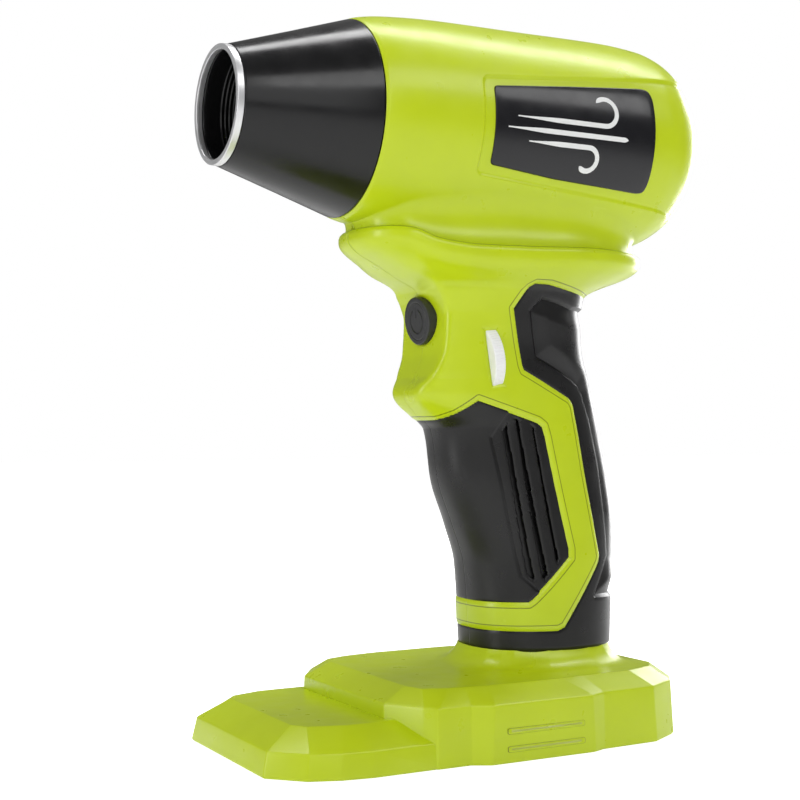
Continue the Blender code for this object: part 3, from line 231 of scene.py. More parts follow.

# %% [markdown]
# ## Finishes
# Every plastic on a tool like this has a fine spark-eroded grain, a little unevenness in gloss, and
# edges rubbed slightly brighter. Those three are layered in one function: noise at three scales on
# Object coordinates, so that the grain has one real size on every piece. Engraved hairlines and seams are
# painted as dark lines of shade, read from a distance stored on the mesh, which keeps them crisp between
# grid points.

# %% One function for all moulded and metal finishes
def finish(name, colour, roughness, grain=0.25, grain_depth=0.02, metallic=0.0, mottle=0.06, wear=0.12,
           coat=0.0, hairline=False, streak=None, specular=0.5):
    """A Principled finish. grain is the texture's size and grain_depth its height (mm); mottle is how much
    colour drifts; wear brightens convex edges; streak stretches the grain along one axis, as turning does.
    The groove switch paints shade: it darkens the colour near engraved lines and seams, read from the
    mesh's line attribute."""
    material = bpy.data.materials.new(name)
    material.use_nodes = True
    tree = material.node_tree
    shader = tree.nodes["Principled BSDF"]
    shader.inputs["Metallic"].default_value = metallic
    shader.inputs["Specular IOR Level"].default_value = specular
    shader.inputs["Coat Weight"].default_value = coat
    shader.inputs["Coat Roughness"].default_value = 0.12
    where = tree.nodes.new("ShaderNodeTexCoord").outputs["Object"]
    if streak is not None:
        stretch = tree.nodes.new("ShaderNodeMapping")
        stretch.inputs["Scale"].default_value = streak
        tree.links.new(where, stretch.inputs["Vector"])
        where = stretch.outputs["Vector"]

    def noise(size_mm, detail):
        """Noise whose grains are about that many millimetres wide."""
        node = tree.nodes.new("ShaderNodeTexNoise")
        node.inputs["Scale"].default_value = 1000.0 / size_mm
        node.inputs["Detail"].default_value = detail
        tree.links.new(where, node.inputs["Vector"])
        return node.outputs["Fac"]

    def ranged(value, low, high, start=0.3, stop=0.7):
        """Carry a value from start..stop over to low..high."""
        node = tree.nodes.new("ShaderNodeMapRange")
        tree.links.new(value, node.inputs["Value"])
        for label, number in (("From Min", start), ("From Max", stop), ("To Min", low), ("To Max", high)):
            node.inputs[label].default_value = number
        return node.outputs["Result"]

    def mixed(factor, first, second):
        """Blend two colours, each a plain tuple or a socket, by a factor."""
        node = tree.nodes.new("ShaderNodeMix")
        node.data_type = "RGBA"
        tree.links.new(factor, node.inputs["Factor"])
        for socket, value in ((node.inputs["A"], first), (node.inputs["B"], second)):
            if isinstance(value, tuple):
                socket.default_value = (*value, 1.0)
            else:
                tree.links.new(value, socket)
        return node.outputs["Result"]

    dark = tuple(c * (1 - mottle) for c in colour)
    light = tuple(min(1.0, c * (1 + mottle)) for c in colour)
    tone = mixed(ranged(noise(14.0, 4), 0.0, 1.0), dark, light)
    fine = noise(grain, 3)
    tone = mixed(ranged(fine, 0.0, 0.5 * mottle, 0.5, 0.75), tone, light)
    edge = ranged(tree.nodes.new("ShaderNodeNewGeometry").outputs["Pointiness"], 0.0, wear, 0.53, 0.62)
    worn = tuple(min(1.0, c * 1.15 + 0.12) for c in colour)
    tone = mixed(edge, tone, worn)
    # Painted shade: the colour darkens to 35 percent near engraved lines and seams, where a groove's shade
    # falls.
    if hairline:
        line = tree.nodes.new("ShaderNodeAttribute")
        line.attribute_name = "line"
        size = tree.nodes.new("ShaderNodeMath")
        size.operation = "ABSOLUTE"
        tree.links.new(line.outputs["Fac"], size.inputs[0])
        groove = ranged(size.outputs["Value"], 1.0, 0.0, 0.07, 0.18)
        tone = mixed(groove, tone, tuple(c * 0.35 for c in colour))
    tree.links.new(tone, shader.inputs["Base Color"])
    tree.links.new(ranged(noise(6.0, 3), roughness - 0.04, roughness + 0.05), shader.inputs["Roughness"])
    bump = tree.nodes.new("ShaderNodeBump")
    bump.inputs["Strength"].default_value = 0.5
    bump.inputs["Distance"].default_value = grain_depth * MM
    tree.links.new(fine, bump.inputs["Height"])
    tree.links.new(bump.outputs["Normal"], shader.inputs["Normal"])
    return material


# %% [markdown]
# ## The palette
# Lime and black plastic, soft rubber and a turned ring are what shows. The parts inside keep their CAD
# meshes and only take a finish, so that the mechanism looks right through the mouth and the rear guard.

# %% Finishes of this tool
# The lime and grip finishes paint shade as dark lines along engraved lines and seams.
LIME = finish("moulded lime plastic", (0.52, 0.645, 0.006), 0.31, grain_depth=0.006, mottle=0.025, wear=0.1,
              coat=0.06, hairline=True)
CONE_BLACK = finish("satin black plastic", (0.005, 0.005, 0.0055), 0.21, grain=0.35, grain_depth=0.01,
                    wear=0.01, specular=0.42)
SOFT = finish("soft-touch grip rubber", (0.0075, 0.0072, 0.0075), 0.30, grain=0.18, grain_depth=0.01,
              wear=0.02, hairline=True, specular=0.4)
GLOSS = finish("glossy plate plastic", (0.006, 0.006, 0.008), 0.22, grain=0.5, grain_depth=0.004, wear=0.02)
RING = finish("turned aluminium", (0.74, 0.74, 0.75), 0.34, metallic=0.7, mottle=0.04, streak=(6.0, 1.0, 1.0))
WHITE = finish("white wheel plastic", (0.86, 0.86, 0.87), 0.32, wear=0.0, mottle=0.01)
INK = finish("pale printed ink", (0.80, 0.81, 0.80), 0.45, wear=0.0, mottle=0.02)
PALETTE = {
    "lime_plastic": LIME, "black_plastic": CONE_BLACK, "soft_grip": SOFT, "plate": GLOSS,
    "silver_ring": RING, "white_plastic": WHITE,
    "steel": finish("turned steel", (0.48, 0.48, 0.50), 0.30, metallic=1.0, streak=(6.0, 1.0, 1.0)),
    "brass": finish("stamped brass", (0.78, 0.55, 0.22), 0.30, metallic=1.0, streak=(1.0, 1.0, 5.0)),
    "aluminium": finish("extruded aluminium", (0.72, 0.73, 0.75), 0.36, metallic=1.0, streak=(1.0, 1.0, 0.2)),
    "copper_winding": finish("enamelled windings", (0.62, 0.24, 0.09), 0.34, grain=0.6, grain_depth=0.15,
                             metallic=0.9, streak=(0.3, 1.0, 1.0)),
    "circuit_board": finish("solder-resist laminate", (0.015, 0.16, 0.06), 0.32, grain=1.2, grain_depth=0.03),
    "filter_mesh": finish("woven filter mesh", (0.03, 0.03, 0.03), 0.8, grain=0.6, grain_depth=0.4),
    "red_insulation": finish("red wire insulation", (0.55, 0.015, 0.012), 0.38, coat=0.1),
    "grey_plastic": finish("glass-filled nylon", (0.075, 0.075, 0.08), 0.5, grain=0.4, grain_depth=0.05),
    "rubber": finish("black rubber", (0.015, 0.015, 0.015), 0.7, grain=0.3, grain_depth=0.05),
}
for part in frame["record"]["subparts"]:
    node = frame["nodes"][part["node"]]
    node.data.materials.clear()
    node.data.materials.append(PALETTE[part["material_slot"]])
print("finishes:", len(PALETTE))

# %% [markdown]
# ## The barrel
# The real barrel is two lime mouldings round a fan duct. Its section is a circle above, and below it
# flows through a hollow fillet onto the shoulder that sits on the handle. The fillet is an arc that is
# tangent to the barrel and ends on the seam at a set lean, which fixes its radius by Pythagoras. A grid that
# runs along the barrel and round each section carries the whole form, and its columns are gathered at the
# edges of the sunk side panel so that the step stays crisp.

# %% Barrel profile, seam line and panel edges
barrel_radius = through((36.9, 38.0, 48.9, 61.9, 86.9, 118.0, 129.5, 134.9, 138.9, 141.9, 143.2, REAR),
                        (27.2, 27.75, 29.4, 30.2, 30.7, 31.3, 30.7, 29.5, 27.7, 25.6, 24.0, 23.0))
SEAM_OUTLINE = np.array((
    (132.9, 0.0), (132.7, 4.4), (131.9, 8.2), (130.4, 11.1), (127.2, 14.3), (122.0, 17.7), (116.7, 20.1),
    (109.3, 22.2), (98.3, 23.5), (82.7, 23.5), (68.5, 22.3), (61.2, 20.9), (55.8, 19.7), (52.9, 18.6),
    (50.0, 17.4), (47.8, 15.8), (45.1, 13.2), (42.7, 9.8), (41.1, 4.9), (40.5, 0.0)))
SEAM_BACK, SEAM_FRONT = SEAM_OUTLINE[0, 0], SEAM_OUTLINE[-1, 0]
seam_height = through((40.5, 45.1, 50.0, 52.9, 55.8, 61.2, 68.5, 82.7, 98.3, 109.3, 117.2, 132.9),
                      (140.7, 140.6, 140.0, 138.9, 137.6, 136.6, 136.0, 136.2, 136.9, 137.3, 137.4, 137.4))
seam_run = np.concatenate([[0], np.cumsum(np.linalg.norm(np.diff(SEAM_OUTLINE, axis=0), axis=1))])
seam_station = through(seam_run, SEAM_OUTLINE[:, 0])
seam_width = through(seam_run, SEAM_OUTLINE[:, 1])
seam_at = np.linspace(0, seam_run[-1], 2000)
seam_table = (seam_station(seam_at)[::-1], seam_width(seam_at)[::-1])
panel_top = through((65.0, 97.3, 133.3, REAR), (182.2, 185.5, 189.4, 190.2))
panel_bottom = through((65.0, 98.2, 134.4, REAR), (155.4, 152.9, 150.3, 149.8))
PANEL_FRONT = 65.0
PANEL_DEPTH = 0.8
PANEL_BEVEL = 1.0
PANEL_CORNER = 2.5
SHOULDER_LEAN = math.radians(42)
HALF_GAP = 0.02   # each half stops this far from the middle plane
print(f"seam outline {SEAM_BACK - SEAM_FRONT:.1f} mm long")

# %% [markdown]
# ## Fillet and sunk panel
# The fillet's circle touches the barrel's circle from outside and must pass through the seam point. The
# panel is a smooth step in depth, driven by the distance from the panel's border.

# %% Sections of the barrel
def fillet_arc(u, radius, width, drop):
    """The fillet at each station: lean at the seam, radius, centre and the angle where it leaves the
    barrel. Radius = (w^2 + d^2 - r^2) / (2 (r + d cos lean - w sin lean)), for width w and drop d."""
    lean = SHOULDER_LEAN * ease(width / 16.0)
    space = width ** 2 + drop ** 2 - radius ** 2
    fillet = space / (2 * (radius + drop * np.cos(lean) - width * np.sin(lean)))
    fillet = np.where(width > 0, np.clip(fillet, 0.05, np.maximum(width * 0.98, 0.05)), 0.0)
    centre_y = width + fillet * np.sin(lean)
    centre_z = np.where(width > 0, -drop + fillet * np.cos(lean), -radius)
    contact = np.where(width > 0, np.arctan2(centre_z, centre_y), -np.pi / 2)
    return lean, fillet, centre_y, centre_z, contact


def corner_distance(first, second, radius):
    """Distance inside a corner rounded by radius, from the distances to its two sides."""
    inner = radius - np.hypot(radius - first, radius - second)
    return np.where((first < radius) & (second < radius), inner, np.minimum(first, second))


def barrel_sections(side):
    """The barrel as a grid. Rows are stations. Along a row the first columns run down the circle, from
    the top to where the fillet starts, then round the fillet, over the shoulder's edge and under it."""
    u = spread((JOINT, 38.0, 0.12), (38.0, SEAM_FRONT, 0.4), (SEAM_FRONT, 44.0, 0.25), (44.0, 63.0, 0.8),
               (63.0, 68.0, 0.25), (68.0, 128.0, 0.9), (128.0, SEAM_BACK, 0.25), (SEAM_BACK, 141.0, 0.6),
               (141.0, REAR, 0.25))
    radius = barrel_radius(u)
    width = np.interp(u, *seam_table, left=0.0, right=0.0)
    drop = AXIS - seam_height(u)
    width = np.where((u <= SEAM_FRONT) | (u >= SEAM_BACK), 0.0, width)
    lean, fillet, centre_y, centre_z, contact = fillet_arc(u, radius, width, drop)
    high = np.arcsin((panel_top(u) - AXIS) / radius)
    low = np.arcsin((panel_bottom(u) - AXIS) / radius)
    anchors = np.stack([np.full_like(u, np.pi / 2), high, low, np.minimum(contact, low - 0.02)], axis=1)
    at = spread((0.0, 0.94, 0.035), (0.94, 1.04, 0.008), (1.04, 1.96, 0.035), (1.96, 2.0, 0.006),
                (2.0, 2.12, 0.02), (2.12, 3.0, 0.06))
    piece = np.clip(at.astype(int), 0, 2)
    share = at - piece
    angle = anchors[:, piece] * (1 - share) + anchors[:, piece + 1] * share
    inside_u = (u - PANEL_FRONT)[:, None]
    inside_top = (high[:, None] - angle) * radius[:, None]
    inside_low = (angle - low[:, None]) * radius[:, None]
    inside = corner_distance(inside_u, corner_distance(inside_top, inside_low, PANEL_CORNER), PANEL_CORNER)
    sunk = PANEL_DEPTH * ease(inside / PANEL_BEVEL)
    reach = radius[:, None] - sunk
    y = reach * np.cos(angle)
    z = reach * np.sin(angle)
    turn = np.linspace(0, 1, 12)[1:]
    start = contact + np.pi
    swing = start[:, None] + (1.5 * np.pi - lean - start)[:, None] * turn
    arc_y = centre_y[:, None] + fillet[:, None] * np.cos(swing)
    arc_z = centre_z[:, None] + fillet[:, None] * np.sin(swing)
    lip = 0.3 * ease(width / 8.0)[:, None]
    edge_turn = np.linspace(0, np.pi / 2, 5)
    edge_y = width[:, None] + lip * (np.sin(edge_turn) - 1.2 * (1 - np.cos(edge_turn)))
    edge_z = np.where(width > 0, -drop, -radius)[:, None] - lip * (1 - np.cos(edge_turn))
    under_y = (width - 0.6 * np.minimum(width, 4.0))[:, None]
    under_z = edge_z[:, -1:] - 0.05
    y = np.maximum(np.concatenate([y, arc_y, edge_y, under_y], axis=1), HALF_GAP)
    z = np.concatenate([z, arc_z, edge_z, under_z], axis=1)
    return np.stack([np.repeat(u[:, None], y.shape[1], 1), side * y, AXIS + z], axis=-1)


def make_barrel(side, label):
    """One half of the barrel, with a wall on its inner side."""
    grid = barrel_sections(side)
    faces = sheet(*grid.shape[:2])
    if side < 0:
        faces = faces[:, ::-1]
    shell = build(f"barrel_{label}", grid.reshape(-1, 3), faces, LIME, "lime_plastic",
                  replaces=[f"barrel_shell_{label}"])
    return thicken(shell, 1.2)


for side, label in ((-1, "left"), (1, "right")):
    made = make_barrel(side, label)
    print(made.name, len(made.data.polygons), "faces")

# %% [markdown]
# ## Nozzle cone and mouth ring
# Both are turned parts, so each is one profile carried round the axis. The cone presses against the barrel
# with a hairline gap. The cone's bore, behind the ring, has a short coarse thread for the accessory nozzles.

# %% Cone and ring
THREAD = (7.0, 13.0)
THREAD_TURNS = 5
INSERT = JOINT + 4.0   # the cone's spigot ends here, inside the barrel
slope = (27.2 - 16.0) / (JOINT - 2.2)
cone = rounded([(INSERT, 24.6), (INSERT, 26.4), (JOINT - 0.15, 26.4), (JOINT - 0.25, 27.25),
                (20.0, 16.15 + slope * 17.6), (2.1, 16.12), (2.0, 15.0), (3.2, 14.85)], 0.35)
thread_at = np.linspace(*THREAD, 80)
wave = np.cos((thread_at - THREAD[0]) / (THREAD[1] - THREAD[0]) * THREAD_TURNS * 2 * np.pi)
thread = np.stack([thread_at, 14.75 - 0.1 * (1 - wave)], axis=1)
bore = [(14.0, 14.9), (INSERT, 23.4), (INSERT, 24.6)]
build("cone_shell", *turned(np.concatenate([cone, thread, bore])), CONE_BLACK, "black_plastic",
      replaces=["nozzle_cone"], outward=True)
rim = rounded([(1.0, 14.8), (1.9, 14.8), (1.9, 16.05), (0.0, 15.95), (0.0, 14.45), (1.0, 14.45),
               (1.0, 14.8)], 0.25)
build("mouth_rim", *turned(rim), RING, "silver_ring", replaces=["mouth_ring"], outward=True)
print("cone and ring turned, thread of", THREAD_TURNS, "turns")

# %% [markdown]
# ## The handle's form
# A handle is sculpted for a hand: oval low down, a scooped finger face above, then a flare out to the
# seam. Each section is a squared oval. Its front is cut by a nearly flat band, as a soft maximum of two
# surfaces, which leaves the crease beside the finger face. Near the top the sections melt into the seam
# outline, so that handle and barrel share one line.

# %% Sections of the handle
HEIGHTS = (24.3, 48.0, 60.0, 72.0, 87.0, 92.0, 96.5, 101.0, 109.0, 118.0, 123.0, 127.0, 131.0, 135.0,
           138.0)
FRONTS = (79.5, 77.5, 73.5, 69.0, 66.5, 61.5, 58.3, 61.3, 64.4, 64.9, 63.8, 62.2, 63.5, 58.0, 40.5)
BACKS = (122.4, 124.0, 124.4, 123.0, 119.8, 118.8, 117.7, 116.5, 114.0, 113.0, 113.6, 114.4, 115.0,
         118.0, 132.9)
HALVES = (18.2, 16.9, 16.2, 15.7, 15.4, 15.3, 15.3, 15.3, 15.5, 16.5, 17.2, 18.0, 19.2, 21.2, 23.3)
handle_front = through(HEIGHTS, FRONTS)
handle_back = through(HEIGHTS, BACKS)
handle_half = through(HEIGHTS, HALVES)
face_half = through((88.0, 91.0, 93.2, 97.1, 100.3, 103.6, 110.9, 119.0, 124.6, 127.4, 131.7, 134.8, 138.7),
                    (0.5, 2.0, 5.0, 7.0, 9.5, 11.0, 12.0, 12.0, 12.5, 12.0, 9.0, 6.0, 4.0))
SQUARE = 2.3           # power of the squared oval
CREASE = 0.6           # softness of the finger face's edges
MELT_START = 126.0     # above this height the sections turn into the seam outline
MELT_LENGTH = 11.0
HANDLE_COLUMNS = 240


def handle_grid():
    """Half of the handle, from the back to the front round one side. Rows are heights; the columns are
    even steps along each section's length."""
    heights = spread((COLLAR, COLLAR + 1.0, 0.2), (COLLAR + 1.0, SEAM - 2.4, 0.4), (SEAM - 2.4, SEAM, 0.12))
    front, back, half = handle_front(heights), handle_back(heights), handle_half(heights)
    middle = (front + back) / 2
    turn = np.linspace(0, np.pi, 721)
    cosine, sine = np.cos(turn), np.sin(turn)
    wide = np.clip(face_half(heights) / half, 0.02, 0.95)
    cut = (1 - wide ** SQUARE) ** (1 / SQUARE)
    reach_front = (middle - front) / cut
    reach = np.where(cosine[None, :] > 0, (back - middle)[:, None], reach_front[:, None])
    across = np.sign(cosine) * np.abs(cosine) ** (2 / SQUARE)
    station = middle[:, None] + reach * across
    face = front[:, None]
    gap = station - face
    station = (station + face + np.sqrt(gap ** 2 + CREASE ** 2)) / 2 - CREASE ** 2 / 4 / np.maximum(gap, 6.0)
    y = half[:, None] * np.abs(sine) ** (2 / SQUARE)
    run = np.hypot(np.diff(station, axis=1), np.diff(y, axis=1))
    run = np.concatenate([np.zeros((len(heights), 1)), np.cumsum(run, axis=1)], axis=1)
    run /= run[:, -1:]
    at = np.linspace(0, 1, HANDLE_COLUMNS)
    station = np.array([np.interp(at, r, s) for r, s in zip(run, station)])
    y = np.array([np.interp(at, r, s) for r, s in zip(run, y)])
    melt = ease((heights - MELT_START) / MELT_LENGTH)[:, None]
    station = station * (1 - melt) + melt * seam_station(at * seam_run[-1])
    y = y * (1 - melt) + melt * seam_width(at * seam_run[-1])
    z = heights[:, None] + melt * (seam_height(station) - SEAM)
    return np.stack([station, -y, z], axis=-1), SEAM - heights


handle, below_seam = handle_grid()
print("handle grid", handle.shape)

# %% [markdown]
# ## Cutting the handle into shell and grips
# The grips are a second, soft moulding let into pockets of the shell, so their borders must be true edges.
# Each border is an outline seen from the side, and what matters is the signed distance to it. All outlines
# are plain corners; their heights are shares of the handle's height, so they follow the handle.

# %% Outlines seen from the side
def share_outline(points):
    """Outline points given as (behind the collar's middle, share of the handle's height)."""
    return np.array([(COLLAR_STATION + back, COLLAR + share * (SEAM - COLLAR)) for back, share in points])


FRONT_GRIP = share_outline((
    (-60, 0.583), (-37.8, 0.577), (-34.5, 0.591), (-29.2, 0.622), (-10.3, 0.568), (-8.4, 0.556),
    (-7.4, 0.528), (-0.1, 0.247), (-0.2, 0.223), (-12.2, 0.121), (-13.3, 0.114), (-60, 0.118)))
REAR_GRIP = share_outline((
    (60, 0.895), (8.1, 0.894), (-8.8, 0.916), (-13.7, 0.916), (-15.3, 0.907), (-19.7, 0.848), (-19.3, 0.831),
    (-16.1, 0.707), (-15.4, 0.693), (1.1, 0.622), (2.4, 0.606), (3.0, 0.572), (6.0, 0.429), (10.5, 0.224),
    (9.9, 0.209), (-3.3, 0.055), (-5.2, 0.048), (-60, 0.052), (-60, -0.1), (60, -0.1)))
PALM_PAD = share_outline((
    (60, 0.852), (1.9, 0.857), (-4.4, 0.870), (-10.1, 0.877), (-13.6, 0.842), (-10.9, 0.728), (-1.0, 0.690),
    (5.4, 0.660), (7.4, 0.639), (10.1, 0.576), (13.3, 0.453), (15.2, 0.280), (15.3, 0.221), (8.4, 0.124),
    (60, 0.110)))
RIB_PANEL = np.array(((76.9, 84.5), (79.5, 89.0), (86.0, 98.0), (110.0, 95.0), (110.0, 30.0), (92.5, 38.8),
                      (86.2, 44.9)))
SLOTS = (((80.5, 86.2), (82.1, 88.6), (90.7, 44.4), (89.9, 43.6), (88.1, 45.2)),
         ((84.0, 89.8), (85.6, 89.5), (94.6, 45.4), (93.2, 43.6), (92.2, 44.4)),
         ((89.3, 87.8), (90.6, 87.4), (98.2, 49.6), (97.2, 48.4), (96.5, 49.2)))
wheel_low, wheel_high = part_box("speed_wheel")
wheel_station = (wheel_low.x + wheel_high.x) / 2 / MM - MOUTH
wheel_height = (wheel_low.z + wheel_high.z) / 2 / MM
button_low, button_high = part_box("power_button")
BUTTON_HEIGHT = (button_low.z + button_high.z) / 2 / MM + 0.7
BUTTON_HOLE = 7.2
SLOT_WIDE, SLOT_TALL = 4.1, 16.2
WHEEL_TILT = math.radians(9)
BUTTON_TILT = math.radians(8)
print(f"wheel {wheel_station:.1f} behind the mouth at height {wheel_height:.1f}")

# %% [markdown]
# ## Signed distances
# A distance that is negative inside an outline says in one number which side a point is on and how far it
# is from the border. Borders, rolled edges and hairlines are all read from it.

# %% Distances to the outlines
def distance(points, outline):
    """Signed distance from points to a closed outline, in its plane: negative inside. The sign comes from
    counting how often a ray from the point crosses the outline."""
    a = np.asarray(outline, float)
    b = np.roll(a, -1, axis=0)
    p = points[..., None, :]
    along = b - a
    t = np.clip(((p - a) * along).sum(-1) / (along ** 2).sum(-1), 0, 1)
    near = np.linalg.norm(p - a - t[..., None] * along, axis=-1).min(-1)
    x, z = p[..., 0], p[..., 1]
    crosses = (a[:, 1] > z) != (b[:, 1] > z)
    with np.errstate(divide="ignore", invalid="ignore"):
        reach = a[:, 0] + (z - a[:, 1]) / (b[:, 1] - a[:, 1]) * (b[:, 0] - a[:, 0])
    inside = (crosses & (x < reach)).sum(-1) % 2 == 1
    return np.where(inside, -near, near)


def slot_outline():
    """The speed wheel's slot: a narrow rectangle leaning with the wheel."""
    along = np.array((math.cos(WHEEL_TILT), math.sin(WHEEL_TILT)))
    up = np.array((-along[1], along[0]))
    middle = np.array((wheel_station, wheel_height))
    signs = np.array(((-1, -1), (1, -1), (1, 1), (-1, 1)))
    return middle + signs[:, :1] * SLOT_WIDE / 2 * along + signs[:, 1:] * SLOT_TALL / 2 * up


def from_side(outline):
    """A function that gives the distance from surface points to an outline drawn in side view."""
    return lambda points: distance(points[..., (0, 2)], outline)


def slots_distance(points):
    """Distance to the nearest of the three grip slots."""
    return np.minimum.reduce([from_side(slot)(points) for slot in SLOTS])


def button_distance(points):
    """Distance to the rim of the button's hole, which only exists at the handle's front."""
    rim = np.hypot(points[..., 1], (points[..., 2] - BUTTON_HEIGHT) / math.cos(BUTTON_TILT)) - BUTTON_HOLE
    return np.where(points[..., 0] < 75.0, rim, 20.0)


FIELDS = {"front": from_side(FRONT_GRIP), "rear": from_side(REAR_GRIP), "palm": from_side(PALM_PAD),
          "ribs": from_side(RIB_PANEL), "wheel": from_side(slot_outline()), "slots": slots_distance,
          "button": button_distance}
PALM_GROOVE = 0.95   # width of the groove round the palm pad
BORDERS = (("front", 0.0), ("rear", 0.0), ("palm", 0.0), ("palm", PALM_GROOVE), ("slots", 0.0),
           ("button", 0.0), ("ribs", 0.0))
print("borders:", ", ".join(FIELDS))

# %% [markdown]
# ## Exact borders on a grid
# A Boolean would leave long slivers on a surface this fine. Instead, the points nearest to a border are slid
# along the surface onto it, and every triangle that still crosses it is split there, in whole arrays.

# %% Slide and cut
def slide(grid, row, column):
    """The surface at fractional rows and columns, by bilinear interpolation of the grid."""
    row = np.clip(row, 0, grid.shape[0] - 1.001)
    column = np.clip(column, 0, grid.shape[1] - 1.001)
    i, j = row.astype(int), column.astype(int)
    s, t = (row - i)[..., None], (column - j)[..., None]
    return ((1 - s) * (1 - t) * grid[i, j] + s * (1 - t) * grid[i + 1, j]
            + (1 - s) * t * grid[i, j + 1] + s * t * grid[i + 1, j + 1])


REACH = 0.34      # how far a point may slide, in grid steps
NEAR = 0.6        # and how close to the border it must be (mm)
ON_BORDER = 0.03  # closer than this, a point counts as lying on the border (mm)


def snap(grid, use):
    """Slide grid points that lie close to a border onto it, in the grid's own rows and columns: the step is
    minus the distance times its gradient over the gradient squared. This avoids slivers later."""
    rows, cols = np.meshgrid(np.arange(grid.shape[0], dtype=float), np.arange(grid.shape[1], dtype=float),
                             indexing="ij")
    settled = np.zeros(rows.shape, bool)
    inner = (rows > 0) & (rows < grid.shape[0] - 1) & (cols > 0) & (cols < grid.shape[1] - 1)
    for label, level in use:
        for _ in range(2):
            d = FIELDS[label](slide(grid, rows, cols)) - level
            gi, gj = np.gradient(d)
            size = gi ** 2 + gj ** 2 + 1e-9
            near = (np.abs(d) / np.sqrt(size) < REACH) & (np.abs(d) < NEAR) & ~settled & inner
            rows = np.where(near, rows - d * gi / size, rows)
            cols = np.where(near, cols - d * gj / size, cols)
        settled |= near
    return np.stack([rows.reshape(-1), cols.reshape(-1)], axis=1)


def cut(grid, at, triangles, label, level):
    """Split every triangle that a border crosses. New points are put where the distance is zero along its
    crossed edges; a triangle with a corner on the border becomes two, any other becomes three."""
    value = FIELDS[label](slide(grid, at[:, 0], at[:, 1])) - level
    side = np.sign(np.where(np.abs(value) < ON_BORDER, 0.0, value)).astype(int)
    corner = side[triangles]
    crossed = (corner.min(axis=1) < 0) & (corner.max(axis=1) > 0)
    open_ones, corner = triangles[crossed], corner[crossed]
    touching = (corner == 0).any(axis=1)
    lone = np.where(corner.sum(axis=1) > 0, -1, 1)
    first = np.where(touching, np.argmax(corner == 0, axis=1), np.argmax(corner == lone[:, None], axis=1))
    open_ones = np.take_along_axis(open_ones, (first[:, None] + np.arange(3)) % 3, axis=1)
    two, three = open_ones[touching], open_ones[~touching]
    edges = np.sort(np.concatenate([two[:, 1:], three[:, :2], three[:, ::2]]), axis=1)
    kinds, which = np.unique(edges, axis=0, return_inverse=True)
    which = which.reshape(-1) + len(at)
    a, b = kinds.T
    share = (value[a] / (value[a] - value[b]))[:, None]
    at = np.concatenate([at, at[a] * (1 - share) + at[b] * share])
    m, n, o = np.split(which, (len(two), len(two) + len(three)))
    (p, q, r), (u, v, w) = two.T, three.T
    new = [np.stack(corners, axis=1) for corners in ((p, q, m), (p, m, r), (u, n, o), (n, v, o), (v, w, o))]
    return at, np.concatenate([triangles[~crossed], *new])


def surface_normals(grid):
    """Unit normals of a grid from the cross product of its two directions."""
    across = np.gradient(grid, axis=1)
    along = np.gradient(grid, axis=0)
    normal = np.cross(across, along)
    return normal / (np.linalg.norm(normal, axis=-1, keepdims=True) + 1e-12)


quads = sheet(*handle.shape[:2])
handle_faces = np.concatenate([quads[:, :3], quads[:, (0, 2, 3)]])
handle_at = snap(handle, BORDERS)
for border in BORDERS:
    handle_at, handle_faces = cut(handle, handle_at, handle_faces, *border)
handle_normal = surface_normals(handle)
quarter = HANDLE_COLUMNS // 4
outward = np.sign((handle_normal[:, quarter] * (handle[:, quarter] - handle.mean(axis=1))).sum())
handle_normal = handle_normal * outward
print("handle points", len(handle_at), "triangles", len(handle_faces))

# %% [markdown]
# ## Shell, grips and palm pad
# Each face now belongs to exactly one moulding. The relief of a moulding is a formula in its distances:
# borders roll inwards by a squared ramp, the palm pad swells, and the rib panel and slots sink. Hairlines
# are signed distances that the finish paints as dark lines of shade, as a groove would show. A wall is
# added inwards last.

# %% Handle pieces
# The shell's hairline is a line of painted shade, not cut into the surface.
GRIP_LINE = 1.25     # the shell's hairline runs this far outside each grip
PALM_DEPTH = 0.95    # the groove round the palm pad is this deep
SLOT_DEPTH = 1.3
FAR = 30.0           # a distance (mm) that no border on this side reaches
SHELL_WALL, GRIP_WALL, FLOOR_WALL = 1.4, 1.0, 0.5


def nearer(first, second):
    """Of two signed distances, the one closer to zero."""
    return np.where(np.abs(first) < np.abs(second), first, second)


def roll(inside, width=0.8, depth=0.5):
    """A border that rolls inwards: minus the depth times (1 - distance inside / width) squared."""
    return -depth * (1 - np.clip(inside / width, 0, 1)) ** 2


